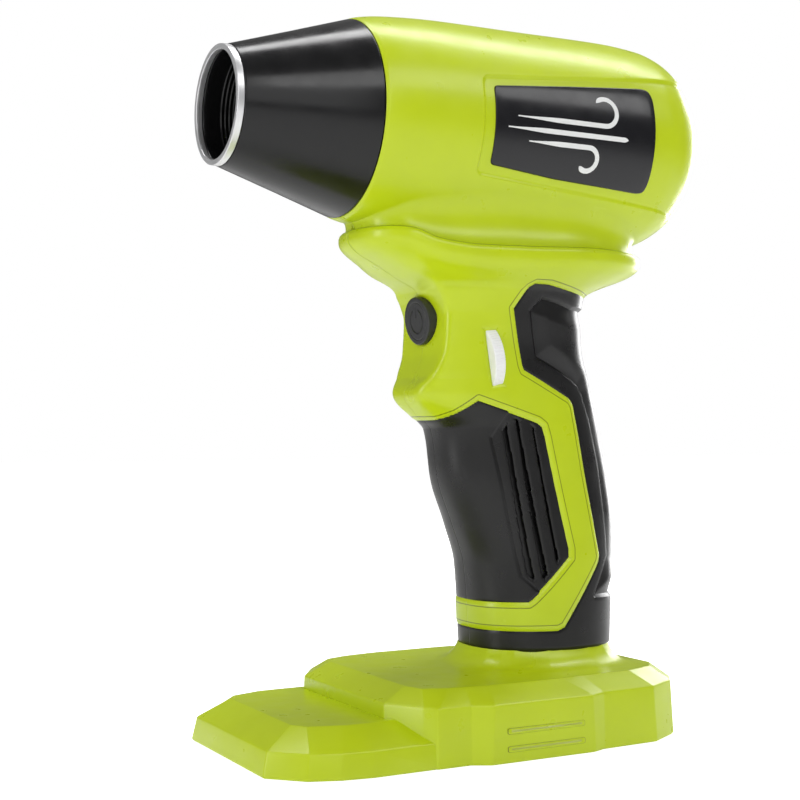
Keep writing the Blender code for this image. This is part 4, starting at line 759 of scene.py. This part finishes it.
def make_handle(side, label):
    """Shell, front grip, rear grip and palm pad of one side."""
    at, triangles = handle_at, handle_faces
    if side < 0:
        at, triangles = cut(handle, at, triangles, "wheel", 0.0)
    points = slide(handle, at[:, 0], at[:, 1])
    normals = slide(handle_normal, at[:, 0], at[:, 1])
    flat = {k: find(points) for k, find in FIELDS.items()}
    if side > 0:
        flat["wheel"] = np.full(len(points), FAR)
    centre = {k: v[triangles].mean(axis=1) for k, v in flat.items()}
    in_front, in_rear = centre["front"] < 0, centre["rear"] < 0
    in_palm = centre["palm"] < 0
    hole = (centre["wheel"] < 0) | (centre["button"] < 0)
    drop = np.interp(at[:, 0], np.arange(len(below_seam)), below_seam)
    outside = np.minimum.reduce([flat["front"], flat["rear"], flat["wheel"], flat["button"]])
    shell = roll(drop, 0.35, 0.4) + roll(outside)
    front = 0.15 + roll(-flat["front"]) + roll(flat["slots"], 0.25, 0.12) - 0.3 * ease(-flat["ribs"] / 0.8)
    groove = PALM_DEPTH * np.clip(1 - flat["palm"] / PALM_GROOVE, 0, 1)
    rear = 0.12 + roll(-flat["rear"]) + roll(SEAM - COLLAR - drop, 0.5, 0.35) - groove
    palm = -0.9 + 1.1 * ease(-flat["palm"] / 6.0) + roll(-flat["palm"], 0.5, 0.3)
    # Painted shade: the shell darkens along a line outside each grip and along the seam under the barrel.
    shell_shade_line = nearer(nearer(flat["front"] - GRIP_LINE, flat["rear"] - GRIP_LINE), drop + 0.02)

    def piece(name, chosen, relief, finish_used, slot, replaced, line, wall):
        """The chosen triangles, moved along their normals by the relief, with a wall of their own."""
        used, faces = np.unique(triangles[chosen], return_inverse=True)
        faces = faces.reshape(-1, 3)
        where = points[used] + normals[used] * relief[used][:, None]
        where[:, 1] = np.minimum(where[:, 1], -HALF_GAP) * (-side)
        if (outward > 0) != (side < 0):
            faces = faces[:, ::-1]
        made = build(f"{name}_{label}", where, faces, finish_used, slot, replaces=[f"{replaced}_{label}"],
                     line=line[used], merge=False, sharp=34)
        return thicken(made, wall)

    here = ~in_front & ~in_rear & ~hole
    piece("handle", here, shell, LIME, "lime_plastic", "handle_shell", shell_shade_line, SHELL_WALL)
    plain = np.full(len(points), NO_LINE)
    # Painted shade along the sunk rib panel's border on the front grip.
    rib_shade_line = np.where(flat["front"] < -0.4, flat["ribs"], NO_LINE)
    here = in_front & (centre["slots"] > 0)
    piece("front_grip", here, front, SOFT, "soft_grip", "grip_front", rib_shade_line, GRIP_WALL)
    piece("rear_grip", in_rear & ~in_palm, rear, SOFT, "soft_grip", "grip_rear", plain, GRIP_WALL)
    piece("palm", in_palm & in_rear, palm, SOFT, "soft_grip", "palm_pad", plain, GRIP_WALL)
    slot_floor = np.full(len(points), -SLOT_DEPTH)
    here = centre["slots"] < NEAR
    piece("grip_floor", here, slot_floor, SOFT, "soft_grip", "grip_front", plain, FLOOR_WALL)
    return len(triangles)


for side, label in ((-1, "left"), (1, "right")):
    print("handle", label, "from", make_handle(side, label), "triangles")

# %% [markdown]
# ## Name plates
# Each plate is a thin slab let into the sunk panel and bent round the barrel. It is drawn as a side-view
# outline that shrinks in rings onto a short spine, so its rim can be rounded finely while its middle
# stays plain.

# %% Slabs bent round the barrel
def on_barrel(side_points, height):
    """Side-view points (station, z) set on the barrel at a height over its surface:
    y is minus the root of the reach squared less the rise over the axis squared."""
    u, z = side_points[..., 0], side_points[..., 1]
    reach = barrel_radius(u) + height
    y = -np.sqrt(np.maximum(reach ** 2 - (z - AXIS) ** 2, 0.0))
    return np.stack([u, y, z], axis=-1)


def slab(outline, spine, top, base, edge=0.3):
    """A closed slab: rings from under the rim, round its edge and in to a spine, then closed below."""
    first, last, height = spine
    centre_line = np.stack([np.clip(outline[:, 0], first, last), np.full(len(outline), height)], axis=1)
    inward = centre_line - outline
    inward /= np.linalg.norm(inward, axis=1, keepdims=True)
    turn = np.linspace(0, np.pi / 2, 5)
    steps = [(0.0, base)] + [(edge * (1 - np.cos(a)), top - edge * (1 - np.sin(a))) for a in turn]
    rings = [on_barrel(outline + inward * offset, height) for offset, height in steps]
    start = outline + inward * edge
    for t in np.linspace(0, 1, 9)[1:]:
        rings.append(on_barrel(start * (1 - t) + centre_line * t, top))
    for t in np.linspace(1, 0, 3):
        rings.append(on_barrel(outline * (1 - t) + centre_line * t, base))
    grid = np.array(rings)
    return grid.reshape(-1, 3), sheet(len(grid), len(outline), wrap=True)


PLATE = [(68.9, 179.5), (93.7, 182.2), (119.5, 184.7), (122.0, 184.4), (122.9, 182.0), (122.9, 157.5),
         (122.4, 155.2), (120.0, 154.8), (90.8, 156.4), (69.2, 158.5)]
PLATE_SPINE = (84.0, 108.0, 169.4)
PLATE_TOP = -0.42    # the plate's face lies this far under the barrel's own surface
PLATE_BASE = -1.1
plate_outline = evenly(ring_rounded(PLATE, 1.2), 260)
print("plate outline of", len(plate_outline), "points")

# %% [markdown]
# ## The printed sign
# The printing is a generic sign for moving air: three strokes, two of which curl over. Thin raised
# strokes keep sharp edges at any distance, which a mask in the material would not.

# %% Printed strokes
INK_WIDTH = 1.35


def stroke(path, width, height=0.07):
    """A flat printed stroke: four edges carried along a path in side view, tapered at its start."""
    ahead = np.gradient(path, axis=0)
    ahead /= np.linalg.norm(ahead, axis=1, keepdims=True)
    across = np.stack([-ahead[:, 1], ahead[:, 0]], axis=1)
    t = np.linspace(0, 1, len(path))[:, None]
    half = width / 2 * (0.25 + 0.75 * ease(t / 0.35)) * np.sqrt(np.clip((1 - t) / 0.03, 0.02, 1.0))
    edges = [(-1, -0.1), (-1, height), (1, height), (1, -0.1)]
    grid = np.stack([on_barrel(path + across * half * s, PLATE_TOP + h) for s, h in edges], axis=1)
    grid = np.concatenate([grid[:1].mean(axis=1, keepdims=True).repeat(4, 1), grid,
                           grid[-1:].mean(axis=1, keepdims=True).repeat(4, 1)])
    return grid.reshape(-1, 3), sheet(len(grid), 4, wrap=True)


def curl(start, straight, radius, turn, upward, count=70):
    """A line that runs straight, then winds into an arc of that radius: an arc length parameter is
    mapped to the straight first and then to an angle."""
    length = straight + radius * turn
    run = np.linspace(0, length, count)
    angle = np.clip(run - straight, 0, None) / radius
    u = start[0] + np.minimum(run, straight) + radius * np.sin(angle)
    z = start[1] + upward * radius * (1 - np.cos(angle))
    return np.stack([u, z], axis=1)


def joined(parts):
    """Several closed bodies as one set of points and faces."""
    points, faces, first = [], [], 0
    for p, f in parts:
        points.append(p)
        faces.append(np.asarray(f) + first)
        first += len(p)
    return np.concatenate(points), np.concatenate(faces)


def mirrored(points, side):
    """The same points on the left (-1) or on the right (1) of the middle plane."""
    return points * (1.0, -side, 1.0)


strands = (((76.0, 171.8), 29.0, 3.9, 4.0, 1), ((73.0, 168.6), 40.0, 0.1, 0.1, 1),
           ((80.0, 165.4), 20.0, 3.1, 4.0, -1))
air = [stroke(curl(*strand), INK_WIDTH) for strand in strands]
for side, label in ((-1, "left"), (1, "right")):
    points, faces = slab(plate_outline, PLATE_SPINE, PLATE_TOP, PLATE_BASE)
    build(f"plate_{label}", mirrored(points, side), faces, GLOSS, "plate", replaces=[f"name_plate_{label}"],
          outward=True)
    points, faces = joined(air)
    build(f"air_sign_{label}", mirrored(points, side), faces, INK, "plate", outward=True)
print("plates and signs made")

# %% [markdown]
# ## Power button
# The button is a round cap whose face carries the usual power sign as a groove: a ring with a gap and a
# bar. It could be engraved with a Boolean, but on a polar grid the groove is one formula in distance. The
# finish also paints the groove darker, as its shade.

# %% Button
BUTTON_BACK = -5.0    # the cap reaches this far behind its face
RING_RADIUS = 3.4     # the power sign's ring
RING_GAP = 0.42       # half of the ring's gap, as an angle
BAR = (1.1, 4.5)      # the power sign's bar
RIM_GROOVE = 5.35     # radius of the shallow groove near the cap's edge


def make_button(columns=220):
    """The cap as a polar grid: columns turn round the axis, rows run from the middle of the back over the
    edge to the middle of the face. The face sinks where the distance to the ring or the bar is small."""
    out = np.array((-math.cos(BUTTON_TILT), 0.0, -math.sin(BUTTON_TILT)))
    up = np.array((out[2], 0.0, -out[0]))
    centre = np.array(((button_low.x + button_high.x) / 2 / MM - MOUTH, 0.0, BUTTON_HEIGHT)) + out * 2.7
    rim = rounded([(6.85, BUTTON_BACK), (6.85, 0.0), (5.9, 0.0)], 0.6, 7)
    face = np.append(np.arange(5.8, 0.02, -0.08), 0.0)
    radius = np.concatenate([[0.0], rim[:, 0], face])[:, None]
    height = np.concatenate([[BUTTON_BACK], rim[:, 1], 0 * face])[:, None]
    turn = full_turn(columns)
    a, b = radius * np.cos(turn), radius * np.sin(turn)
    off_top = np.abs(np.angle(np.exp(1j * (turn - np.pi / 2))))
    ring = np.where(off_top > RING_GAP, np.abs(radius - RING_RADIUS), NO_LINE)
    sign = np.minimum(ring, np.hypot(a, b - np.clip(b, *BAR)))
    on_face = (height > BUTTON_BACK) & (radius < 5.9)
    rise = height - 0.22 * (1 - ease((sign - 0.16) / 0.16)) * on_face * (radius < 5.6)
    rise = rise - 0.12 * (1 - ease(np.abs(radius - RIM_GROOVE) / 0.22)) * on_face
    grid = centre + a[..., None] * (0, 1, 0) + b[..., None] * up + rise[..., None] * out
    # Painted shade: the finish darkens the power sign's groove by this distance.
    line = np.where(sign < 1.0, sign - 0.05, NO_LINE)
    return grid.reshape(-1, 3), sheet(len(grid), columns, wrap=True), line.reshape(-1)


# The button's finish paints shade in the power sign's groove.
BUTTON = finish("dark button plastic", (0.026, 0.026, 0.028), 0.42, grain=0.2, grain_depth=0.015, wear=0.1,
                hairline=True)
points, faces, line = make_button()
build("button_cap", points, faces, BUTTON, "black_plastic", body="button", replaces=["power_button"],
      outward=True, line=line)
print("button grid", len(points))

# %% [markdown]
# ## Speed wheel
# Only a crescent of the wheel shows through its slot. It is a disc with rounded edges and a fine knurl for
# the thumb, which is a cosine added to its rim's radius, so no tooth has to be drawn.

# %% Wheel
KNURLS = 96


def make_wheel(columns=480):
    """The wheel about its own axis: across is the place along the axis, radius the distance from it."""
    along = np.array((math.cos(WHEEL_TILT), 0.0, math.sin(WHEEL_TILT)))
    up = np.array((-along[2], 0.0, along[0]))
    centre = np.array((wheel_station, (wheel_low.y + wheel_high.y) / 2 / MM, wheel_height))
    profile = rounded([(1.7, 1.9), (1.7, 11.4), (-1.7, 11.4), (-1.7, 1.9), (1.7, 1.9)], 0.45, 6)
    turn = full_turn(columns)
    knurl = 0.05 * np.cos(KNURLS * turn) * ease((profile[:, 1:] - 10.9) / 0.4)
    radius = profile[:, 1:] - 0.05 + knurl
    grid = (centre + profile[:, :1, None] * along + (radius * np.cos(turn))[..., None] * (0, 1, 0)
            + (radius * np.sin(turn))[..., None] * up)
    return grid.reshape(-1, 3), sheet(len(profile), columns, wrap=True)


build("speed_dial", *make_wheel(), WHITE, "white_plastic", body="wheel", replaces=["speed_wheel"],
      outward=True)
print("wheel made with", KNURLS, "knurls")

# %% [markdown]
# ## The battery foot
# The foot is a faceted box: a low front tongue and a taller deck, each with a wide chamfer, and a flare
# up to the collar. Facets this crisp still have small radii, because a mould needs them. So each body is
# a stack of plan outlines with rounded corners, joined by quadratic arcs from level to level. The two are
# united and hollowed with Boolean modifiers, as a mould maker would add and subtract blocks.

# %% Stacks of plan outlines
TONGUE_BASE = ((3.3, 25.2), (11.6, 33.6), (19.6, 36.6), (28.0, 37.9), (50.0, 37.9))
TONGUE_WAIST = ((4.6, 24.6), (12.4, 32.8), (20.2, 35.8), (28.0, 37.1), (50.0, 37.1))
TONGUE_TOP = ((12.9, 20.4), (15.5, 24.2), (24.5, 27.3), (30.0, 27.6), (50.0, 27.6))
DECK_BASE = ((37.0, 24.8), (43.3, 34.9), (46.0, 38.2), (55.8, 38.3), (60.7, 40.9), (93.2, 41.0),
             (97.5, 39.4), (115.9, 38.7), (126.5, 32.8), (131.0, 27.0))
DECK_WAIST = ((37.4, 24.4), (43.9, 34.1), (46.5, 37.2), (56.2, 37.5), (61.6, 40.4), (92.6, 40.6),
              (97.9, 38.4), (115.5, 37.6), (126.0, 32.1), (130.2, 26.5))
DECK_TOP = ((45.0, 22.2), (46.8, 28.1), (53.2, 30.5), (58.0, 31.4), (64.6, 32.2), (88.0, 32.6),
            (95.5, 31.6), (112.0, 31.0), (122.0, 27.5), (126.4, 22.0))
DECK_HEIGHT, DECK_WAIST_HEIGHT = 18.9, 15.2
TONGUE_HEIGHT, TONGUE_WAIST_HEIGHT = 11.5, 6.5
COLLAR_MIDDLE, COLLAR_LONG, COLLAR_WIDE = 100.85, 22.35, 18.5


def plan_ring(half, height, soften=0.45, inset=0.0):
    """A closed plan outline from its left half, with rounded corners, moved in by inset, at a height."""
    left = np.array(half) * (1, -1)
    points = np.concatenate([left, left[::-1] * (1, -1)])
    if inset:
        ahead = np.roll(points, -1, axis=0) - points
        ahead /= np.linalg.norm(ahead, axis=1, keepdims=True)
        area = np.sum(points[:, 0] * np.roll(points[:, 1], -1) - np.roll(points[:, 0], -1) * points[:, 1])
        normal = np.stack([ahead[:, 1], -ahead[:, 0]], axis=1) * np.sign(area)
        before = np.roll(normal, 1, axis=0)
        points = points - inset * (normal + before) / (1 + (normal * before).sum(1))[:, None]
    ring = ring_rounded(points, soften, 5)
    return np.column_stack([ring, np.full(len(ring), height)])


def stack(levels, radius, steps=5):
    """Rings joined in order, with each level's edge rounded: the path of every point is rounded alike."""
    rings = [levels[0]]
    for below, ring, above in zip(levels[:-2], levels[1:-1], levels[2:]):
        down = min(0.45, radius / np.linalg.norm(below - ring, axis=1).mean())
        ahead = min(0.45, radius / np.linalg.norm(above - ring, axis=1).mean())
        start, stop = ring + (below - ring) * down, ring + (above - ring) * ahead
        for t in np.linspace(0, 1, steps):
            rings.append((1 - t) ** 2 * start + 2 * t * (1 - t) * ring + t * t * stop)
    rings.append(levels[-1])
    return rings


def shut(ring):
    """The ring pressed flat onto its middle line, which closes the end of a stack."""
    along = np.clip(ring[:, 0], ring[:, 0].min() + 8.0, ring[:, 0].max() - 8.0)
    return np.column_stack([along, 0 * along, ring[:, 2]])


def closed_stack(rings):
    """Points and faces of stacked rings, closed at both ends."""
    grid = np.array([shut(rings[0]), *rings, shut(rings[-1])])
    return grid.reshape(-1, 3), sheet(len(grid), grid.shape[1], wrap=True)


def collar_reach(angle, grow):
    """Distance from the collar's middle to its outline, an oval whose power is 2.3, moved out by grow."""
    long, wide = COLLAR_LONG + grow, COLLAR_WIDE + grow
    return (np.abs(np.cos(angle) / long) ** SQUARE + np.abs(np.sin(angle) / wide) ** SQUARE) ** (-1 / SQUARE)


def cove_ring(plan, grow, height):
    """The flare's ring at a height: the collar grown, but never past the deck's edge less 0.3."""
    away = plan[:, :2] - (COLLAR_MIDDLE, 0.0)
    angle = np.arctan2(away[:, 1], away[:, 0])
    reach = np.minimum(collar_reach(angle, grow), np.linalg.norm(away, axis=1) - 0.3)
    reach = np.maximum(reach, collar_reach(angle, min(grow, 0.3)))
    return np.column_stack([COLLAR_MIDDLE + reach * np.cos(angle), reach * np.sin(angle),
                            np.full(len(plan), height)])


print("outlines of the foot are", len(plan_ring(DECK_BASE, 0.0)), "and", len(plan_ring(TONGUE_BASE, 0.0)),
      "points long")

# %% [markdown]
# ## Deck, tongue and hollow
# The deck ends in a cove whose rings grow smaller as they rise to the collar. The hollows are the same
# outlines moved in by the wall, and the battery's entry at the back is a plain block.

# %% Solids of the foot
WALL = 2.6
CHAMFER = 0.4   # small chamfer round the underside
FLARE = ((7.0, DECK_HEIGHT), (5.4, 19.2), (3.9, 19.8), (2.5, 20.8), (1.4, 22.1), (0.7, 23.4), (0.4, 24.15))
deck_top = plan_ring(DECK_TOP, DECK_HEIGHT)
deck = stack([plan_ring(DECK_BASE, 0.0, inset=CHAMFER), plan_ring(DECK_BASE, CHAMFER),
              plan_ring(DECK_WAIST, DECK_WAIST_HEIGHT), deck_top, cove_ring(deck_top, *FLARE[0])], 0.45)[:-1]
deck += [cove_ring(deck_top, grow, height) for grow, height in FLARE]
tongue = stack([plan_ring(TONGUE_BASE, 0.0, inset=CHAMFER), plan_ring(TONGUE_BASE, CHAMFER),
                plan_ring(TONGUE_WAIST, TONGUE_WAIST_HEIGHT), plan_ring(TONGUE_TOP, TONGUE_HEIGHT),
                plan_ring(TONGUE_TOP, TONGUE_HEIGHT, inset=3.0)], 0.4)
deck_hollow = [plan_ring(DECK_BASE, -1.0, inset=WALL),
               plan_ring(DECK_WAIST, DECK_WAIST_HEIGHT - WALL / 2, inset=WALL),
               plan_ring(DECK_TOP, DECK_HEIGHT - WALL, inset=WALL / 2)]
tongue_hollow = [plan_ring(TONGUE_BASE, -1.0, inset=WALL),
                 plan_ring(TONGUE_WAIST, TONGUE_WAIST_HEIGHT - WALL / 3, inset=WALL),
                 plan_ring(TONGUE_TOP, TONGUE_HEIGHT - WALL, inset=WALL / 2)]
guide_low, guide_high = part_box("battery_guide")


def block(low, high):
    """A plain box between two corners: corner number 4a + 2b + c takes its x, y and z from a, b and c."""
    points = np.where(np.indices((2, 2, 2)).reshape(3, -1).T, high, low)
    faces = ((0, 1, 3, 2), (4, 6, 7, 5), (0, 4, 5, 1), (2, 3, 7, 6), (0, 2, 6, 4), (1, 5, 7, 3))
    return points, np.array(faces)


ENTRY_GAP = 0.3   # room round the battery guide
entry = block((115.0, guide_low.y / MM - ENTRY_GAP, -1.0),
              (142.0, guide_high.y / MM + ENTRY_GAP, guide_high.z / MM + ENTRY_GAP))
print("deck of", len(deck), "rings, tongue of", len(tongue))

# %% [markdown]
# ## One foot out of five solids
# Each Boolean is applied at once and its scratch solid removed, so that the finished piece carries no live
# modifier. Its corners turn by more than 24 degrees, and those edges are marked sharp.

# %% Unite and hollow
def combined(target, tools):
    """Apply Boolean modifiers to a piece with scratch solids, which are then removed."""
    for operation, (points, faces) in tools:
        tool = build("tool", points, faces, LIME, "lime_plastic", outward=True)
        change = target.modifiers.new(operation, "BOOLEAN")
        change.operation = operation
        change.solver = "MANIFOLD"
        change.object = tool
        changed = target.evaluated_get(bpy.context.evaluated_depsgraph_get())
        result = bpy.data.meshes.new_from_object(changed)
        target.modifiers.clear()
        target.data = result
        bpy.data.objects.remove(tool, do_unlink=True)


foot = build("foot", *closed_stack(deck), LIME, "lime_plastic", outward=True, replaces=["foot_shell"])
combined(foot, [("UNION", closed_stack(tongue)), ("DIFFERENCE", closed_stack(deck_hollow)),
                ("DIFFERENCE", closed_stack(tongue_hollow)), ("DIFFERENCE", entry)])
foot.data.shade_smooth()
foot.data.set_sharp_from_angle(angle=math.radians(24))
line_layer = foot.data.attributes.get("line") or foot.data.attributes.new("line", "FLOAT", "POINT")
line_layer.data.foreach_set("value", np.full(len(foot.data.vertices), NO_LINE, np.float32))
print("foot", len(foot.data.polygons), "faces")

# %% [markdown]
# ## Grip bars on the foot
# Two slim bars on each side of the foot help fingers to hold it when the battery is pulled off. A thin
# line of painted shade runs round each bar's rim.

# %% Bars
BARS = ((2.8, 4.4), (7.4, 9.0))   # lower and upper edge of each
BAR_POINTS = 90
BAR_RINGS = ((0.0, -0.3, 0.0), (0.0, 0.05, 0.0), (0.12, 0.14, 0.14), (0.3, 0.15, 0.6), (1.0, 0.15, 0.9),
             (1.0, -0.3, 0.9))    # share of the way to the middle, height, distance to the rim's line of painted shade


def bar_slab(low, high):
    """A slim raised bar with rounded ends on the foot's side wall, which leans in as it rises."""
    outline = ring_rounded([(65.2, low), (89.8, low), (89.8, high), (65.2, high)], 0.5)
    outline = evenly(outline, BAR_POINTS)
    centre = np.column_stack([np.clip(outline[:, 0], 67.0, 88.0), np.full(BAR_POINTS, (low + high) / 2)])
    share, height, _ = np.array(BAR_RINGS).T[:, :, None]
    flat = outline * (1 - share[..., None]) + centre * share[..., None]
    u, z = flat[..., 0], flat[..., 1]
    grid = np.stack([u, -(40.98 - 0.5 * z / DECK_WAIST_HEIGHT + height), z], axis=-1)
    return grid.reshape(-1, 3), sheet(len(grid), BAR_POINTS, wrap=True)


points, faces = joined([bar_slab(*edges) for edges in BARS])
# Painted shade: the lime finish darkens a thin line round each bar's rim.
rim_shade_line = np.tile(np.repeat([ring[2] for ring in BAR_RINGS], BAR_POINTS), len(BARS))
for side, label in ((-1, "left"), (1, "right")):
    build(f"foot_bars_{label}", mirrored(points, side), faces, LIME, "lime_plastic", outward=True,
          line=rim_shade_line)
print(len(BARS), "bars on each side")

# %% [markdown]
# ## The intake grille
# Air enters at the rear through a guard that keeps fingers from the fan. It is a rim, a hub and a few
# rings, tied by swept blades: the rings are turned profiles, and a blade is a thin section carried out
# along a spiral, where the angle grows with the distance from the hub.

# %% Grille
GUARD = REAR - 1.7   # the guard's middle plane
GUARD_RINGS = ((20.6, 1.1, 1.1), (9.4, 0.5, 0.8), (13.0, 0.5, 0.8), (16.8, 0.5, 0.8))
BLADES = 24


def torus(radius, half_wide, half_deep):
    """A rounded ring about the barrel's axis: an oval section turned round it."""
    section = np.append(full_turn(12), 0.0)
    along, out = GUARD + half_deep * np.sin(section), radius + half_wide * np.cos(section)
    return turned(np.column_stack([along, out]), 120)


def blade(turn):
    """One swept blade from hub to rim: its angle grows with the distance out from the hub."""
    out = np.linspace(5.0, 20.6, 14)
    angle = turn + 0.035 * (out - 5.0)
    section = ((-0.5, -0.8), (0.5, -0.8), (0.5, 0.7), (0.2, 1.0), (-0.2, 1.0), (-0.5, 0.7))
    rows = []
    for across, deep in section:
        y = out * np.sin(angle) + across * np.cos(angle)
        z = AXIS + out * np.cos(angle) - across * np.sin(angle)
        rows.append(np.stack([np.full_like(out, GUARD + deep), y, z], axis=-1))
    grid = np.stack(rows, axis=1)
    ends = [np.repeat(grid[k:k + 1].mean(axis=1, keepdims=True), 6, axis=1) for k in (0, -1)]
    grid = np.concatenate([ends[0], grid, ends[1]])
    return grid.reshape(-1, 3), sheet(len(grid), 6, wrap=True)


hub = rounded([(GUARD - 1.0, 0.0), (GUARD - 1.0, 5.6), (GUARD + 0.9, 5.6), (GUARD + 1.2, 0.0)], 0.8, 6)
parts = [torus(*ring) for ring in GUARD_RINGS] + [blade(turn) for turn in full_turn(BLADES)]
parts.append(turned(hub, 72))
build("grille", *joined(parts), CONE_BLACK, "black_plastic", outward=True, replaces=["intake_grille"])

# %% [markdown]
# ## Light
# Glossy plastic is drawn by what it reflects. Long narrow soft boxes above and beside the barrel give it
# straight bright streaks that show its form, and a pale world fills the rest.

# %% Soft boxes and world
LIGHTS = (("over", (0.15, 0.10, 0.80), (0.12, 0.0, 0.17), (1.10, 0.16), 4.6),
          ("front_high", (0.20, -0.70, 0.72), (0.05, 0.0, 0.15), (1.10, 0.30), 3.2),
          ("left", (-0.85, -0.08, 0.22), (0.0, 0.0, 0.12), (0.22, 0.70), 2.8),
          ("fill", (-0.35, -0.95, 0.45), (0.0, 0.0, 0.1), (0.60, 0.60), 1.2),
          ("rim", (0.75, 0.32, 0.22), (0.0, 0.0, 0.1), (0.28, 0.60), 3.6))
for name, place, aim, (wide, high), power in LIGHTS:
    data = bpy.data.lights.new(name, "AREA")
    data.shape = "RECTANGLE"
    data.size = wide
    data.size_y = high
    data.energy = power
    lamp = bpy.data.objects.new(name, data)
    bpy.context.scene.collection.objects.link(lamp)
    lamp.location = place
    lamp.rotation_euler = (Vector(aim) - Vector(place)).to_track_quat("-Z", "Y").to_euler()


def seen_or_lit(tree, lit, seen, socket):
    """Drive a strength by the kind of ray: seen for rays from the camera, lit for all the others."""
    ray = tree.nodes.new("ShaderNodeLightPath")
    level = tree.nodes.new("ShaderNodeMapRange")
    level.inputs["To Min"].default_value = lit
    level.inputs["To Max"].default_value = seen
    tree.links.new(ray.outputs["Is Camera Ray"], level.inputs["Value"])
    tree.links.new(level.outputs["Result"], socket)


world = bpy.data.worlds.new("studio")
bpy.context.scene.world = world
world.use_nodes = True
back = world.node_tree.nodes["Background"]
back.inputs["Color"].default_value = (1, 1, 1, 1)
seen_or_lit(world.node_tree, 0.18, 1.0, back.inputs["Strength"])
print("lights:", len(LIGHTS))

# %% [markdown]
# ## Floor
# The floor is a sheet of white paper that glows a little, so that it meets the background without an edge.

# %% Floor
FLOOR_REACH, FLOOR_DROP = 4.0, 0.0002
corners = np.array(((-1, -1), (1, -1), (1, 1), (-1, 1))) * FLOOR_REACH
floor_mesh = bpy.data.meshes.new("floor")
floor_mesh.from_pydata([(x, y, -FLOOR_DROP) for x, y in corners], [], [(0, 1, 2, 3)])
floor = bpy.data.objects.new("floor", floor_mesh)
bpy.context.scene.collection.objects.link(floor)
paper = bpy.data.materials.new("paper")
paper.use_nodes = True
sockets = paper.node_tree.nodes["Principled BSDF"].inputs
sockets["Base Color"].default_value = (0.9, 0.9, 0.9, 1)
sockets["Roughness"].default_value = 0.9
sockets["Emission Color"].default_value = (1, 1, 1, 1)
seen_or_lit(paper.node_tree, 0.20, 0.92, sockets["Emission Strength"])
floor_mesh.materials.append(paper)
print("floor", 2 * FLOOR_REACH, "m wide")

# %% [markdown]
# ## Camera and closing
# The camera stands low at the front left, with a fairly long lens that keeps true proportions.

# %% Camera and closing
STAND = (-0.20513, -0.34574, 0.08485)
LOOK = Vector((0.4796, 0.8768, 0.0253))
camera = bpy.data.objects.new("camera", bpy.data.cameras.new("camera"))
bpy.context.scene.collection.objects.link(camera)
bpy.context.scene.camera = camera
camera.data.lens = 62.8
camera.data.sensor_width = 36.0
camera.data.clip_start = 0.01
camera.location = STAND
camera.rotation_euler = LOOK.to_track_quat("-Z", "Y").to_euler()
bpy.context.scene.view_settings.view_transform = "Standard"
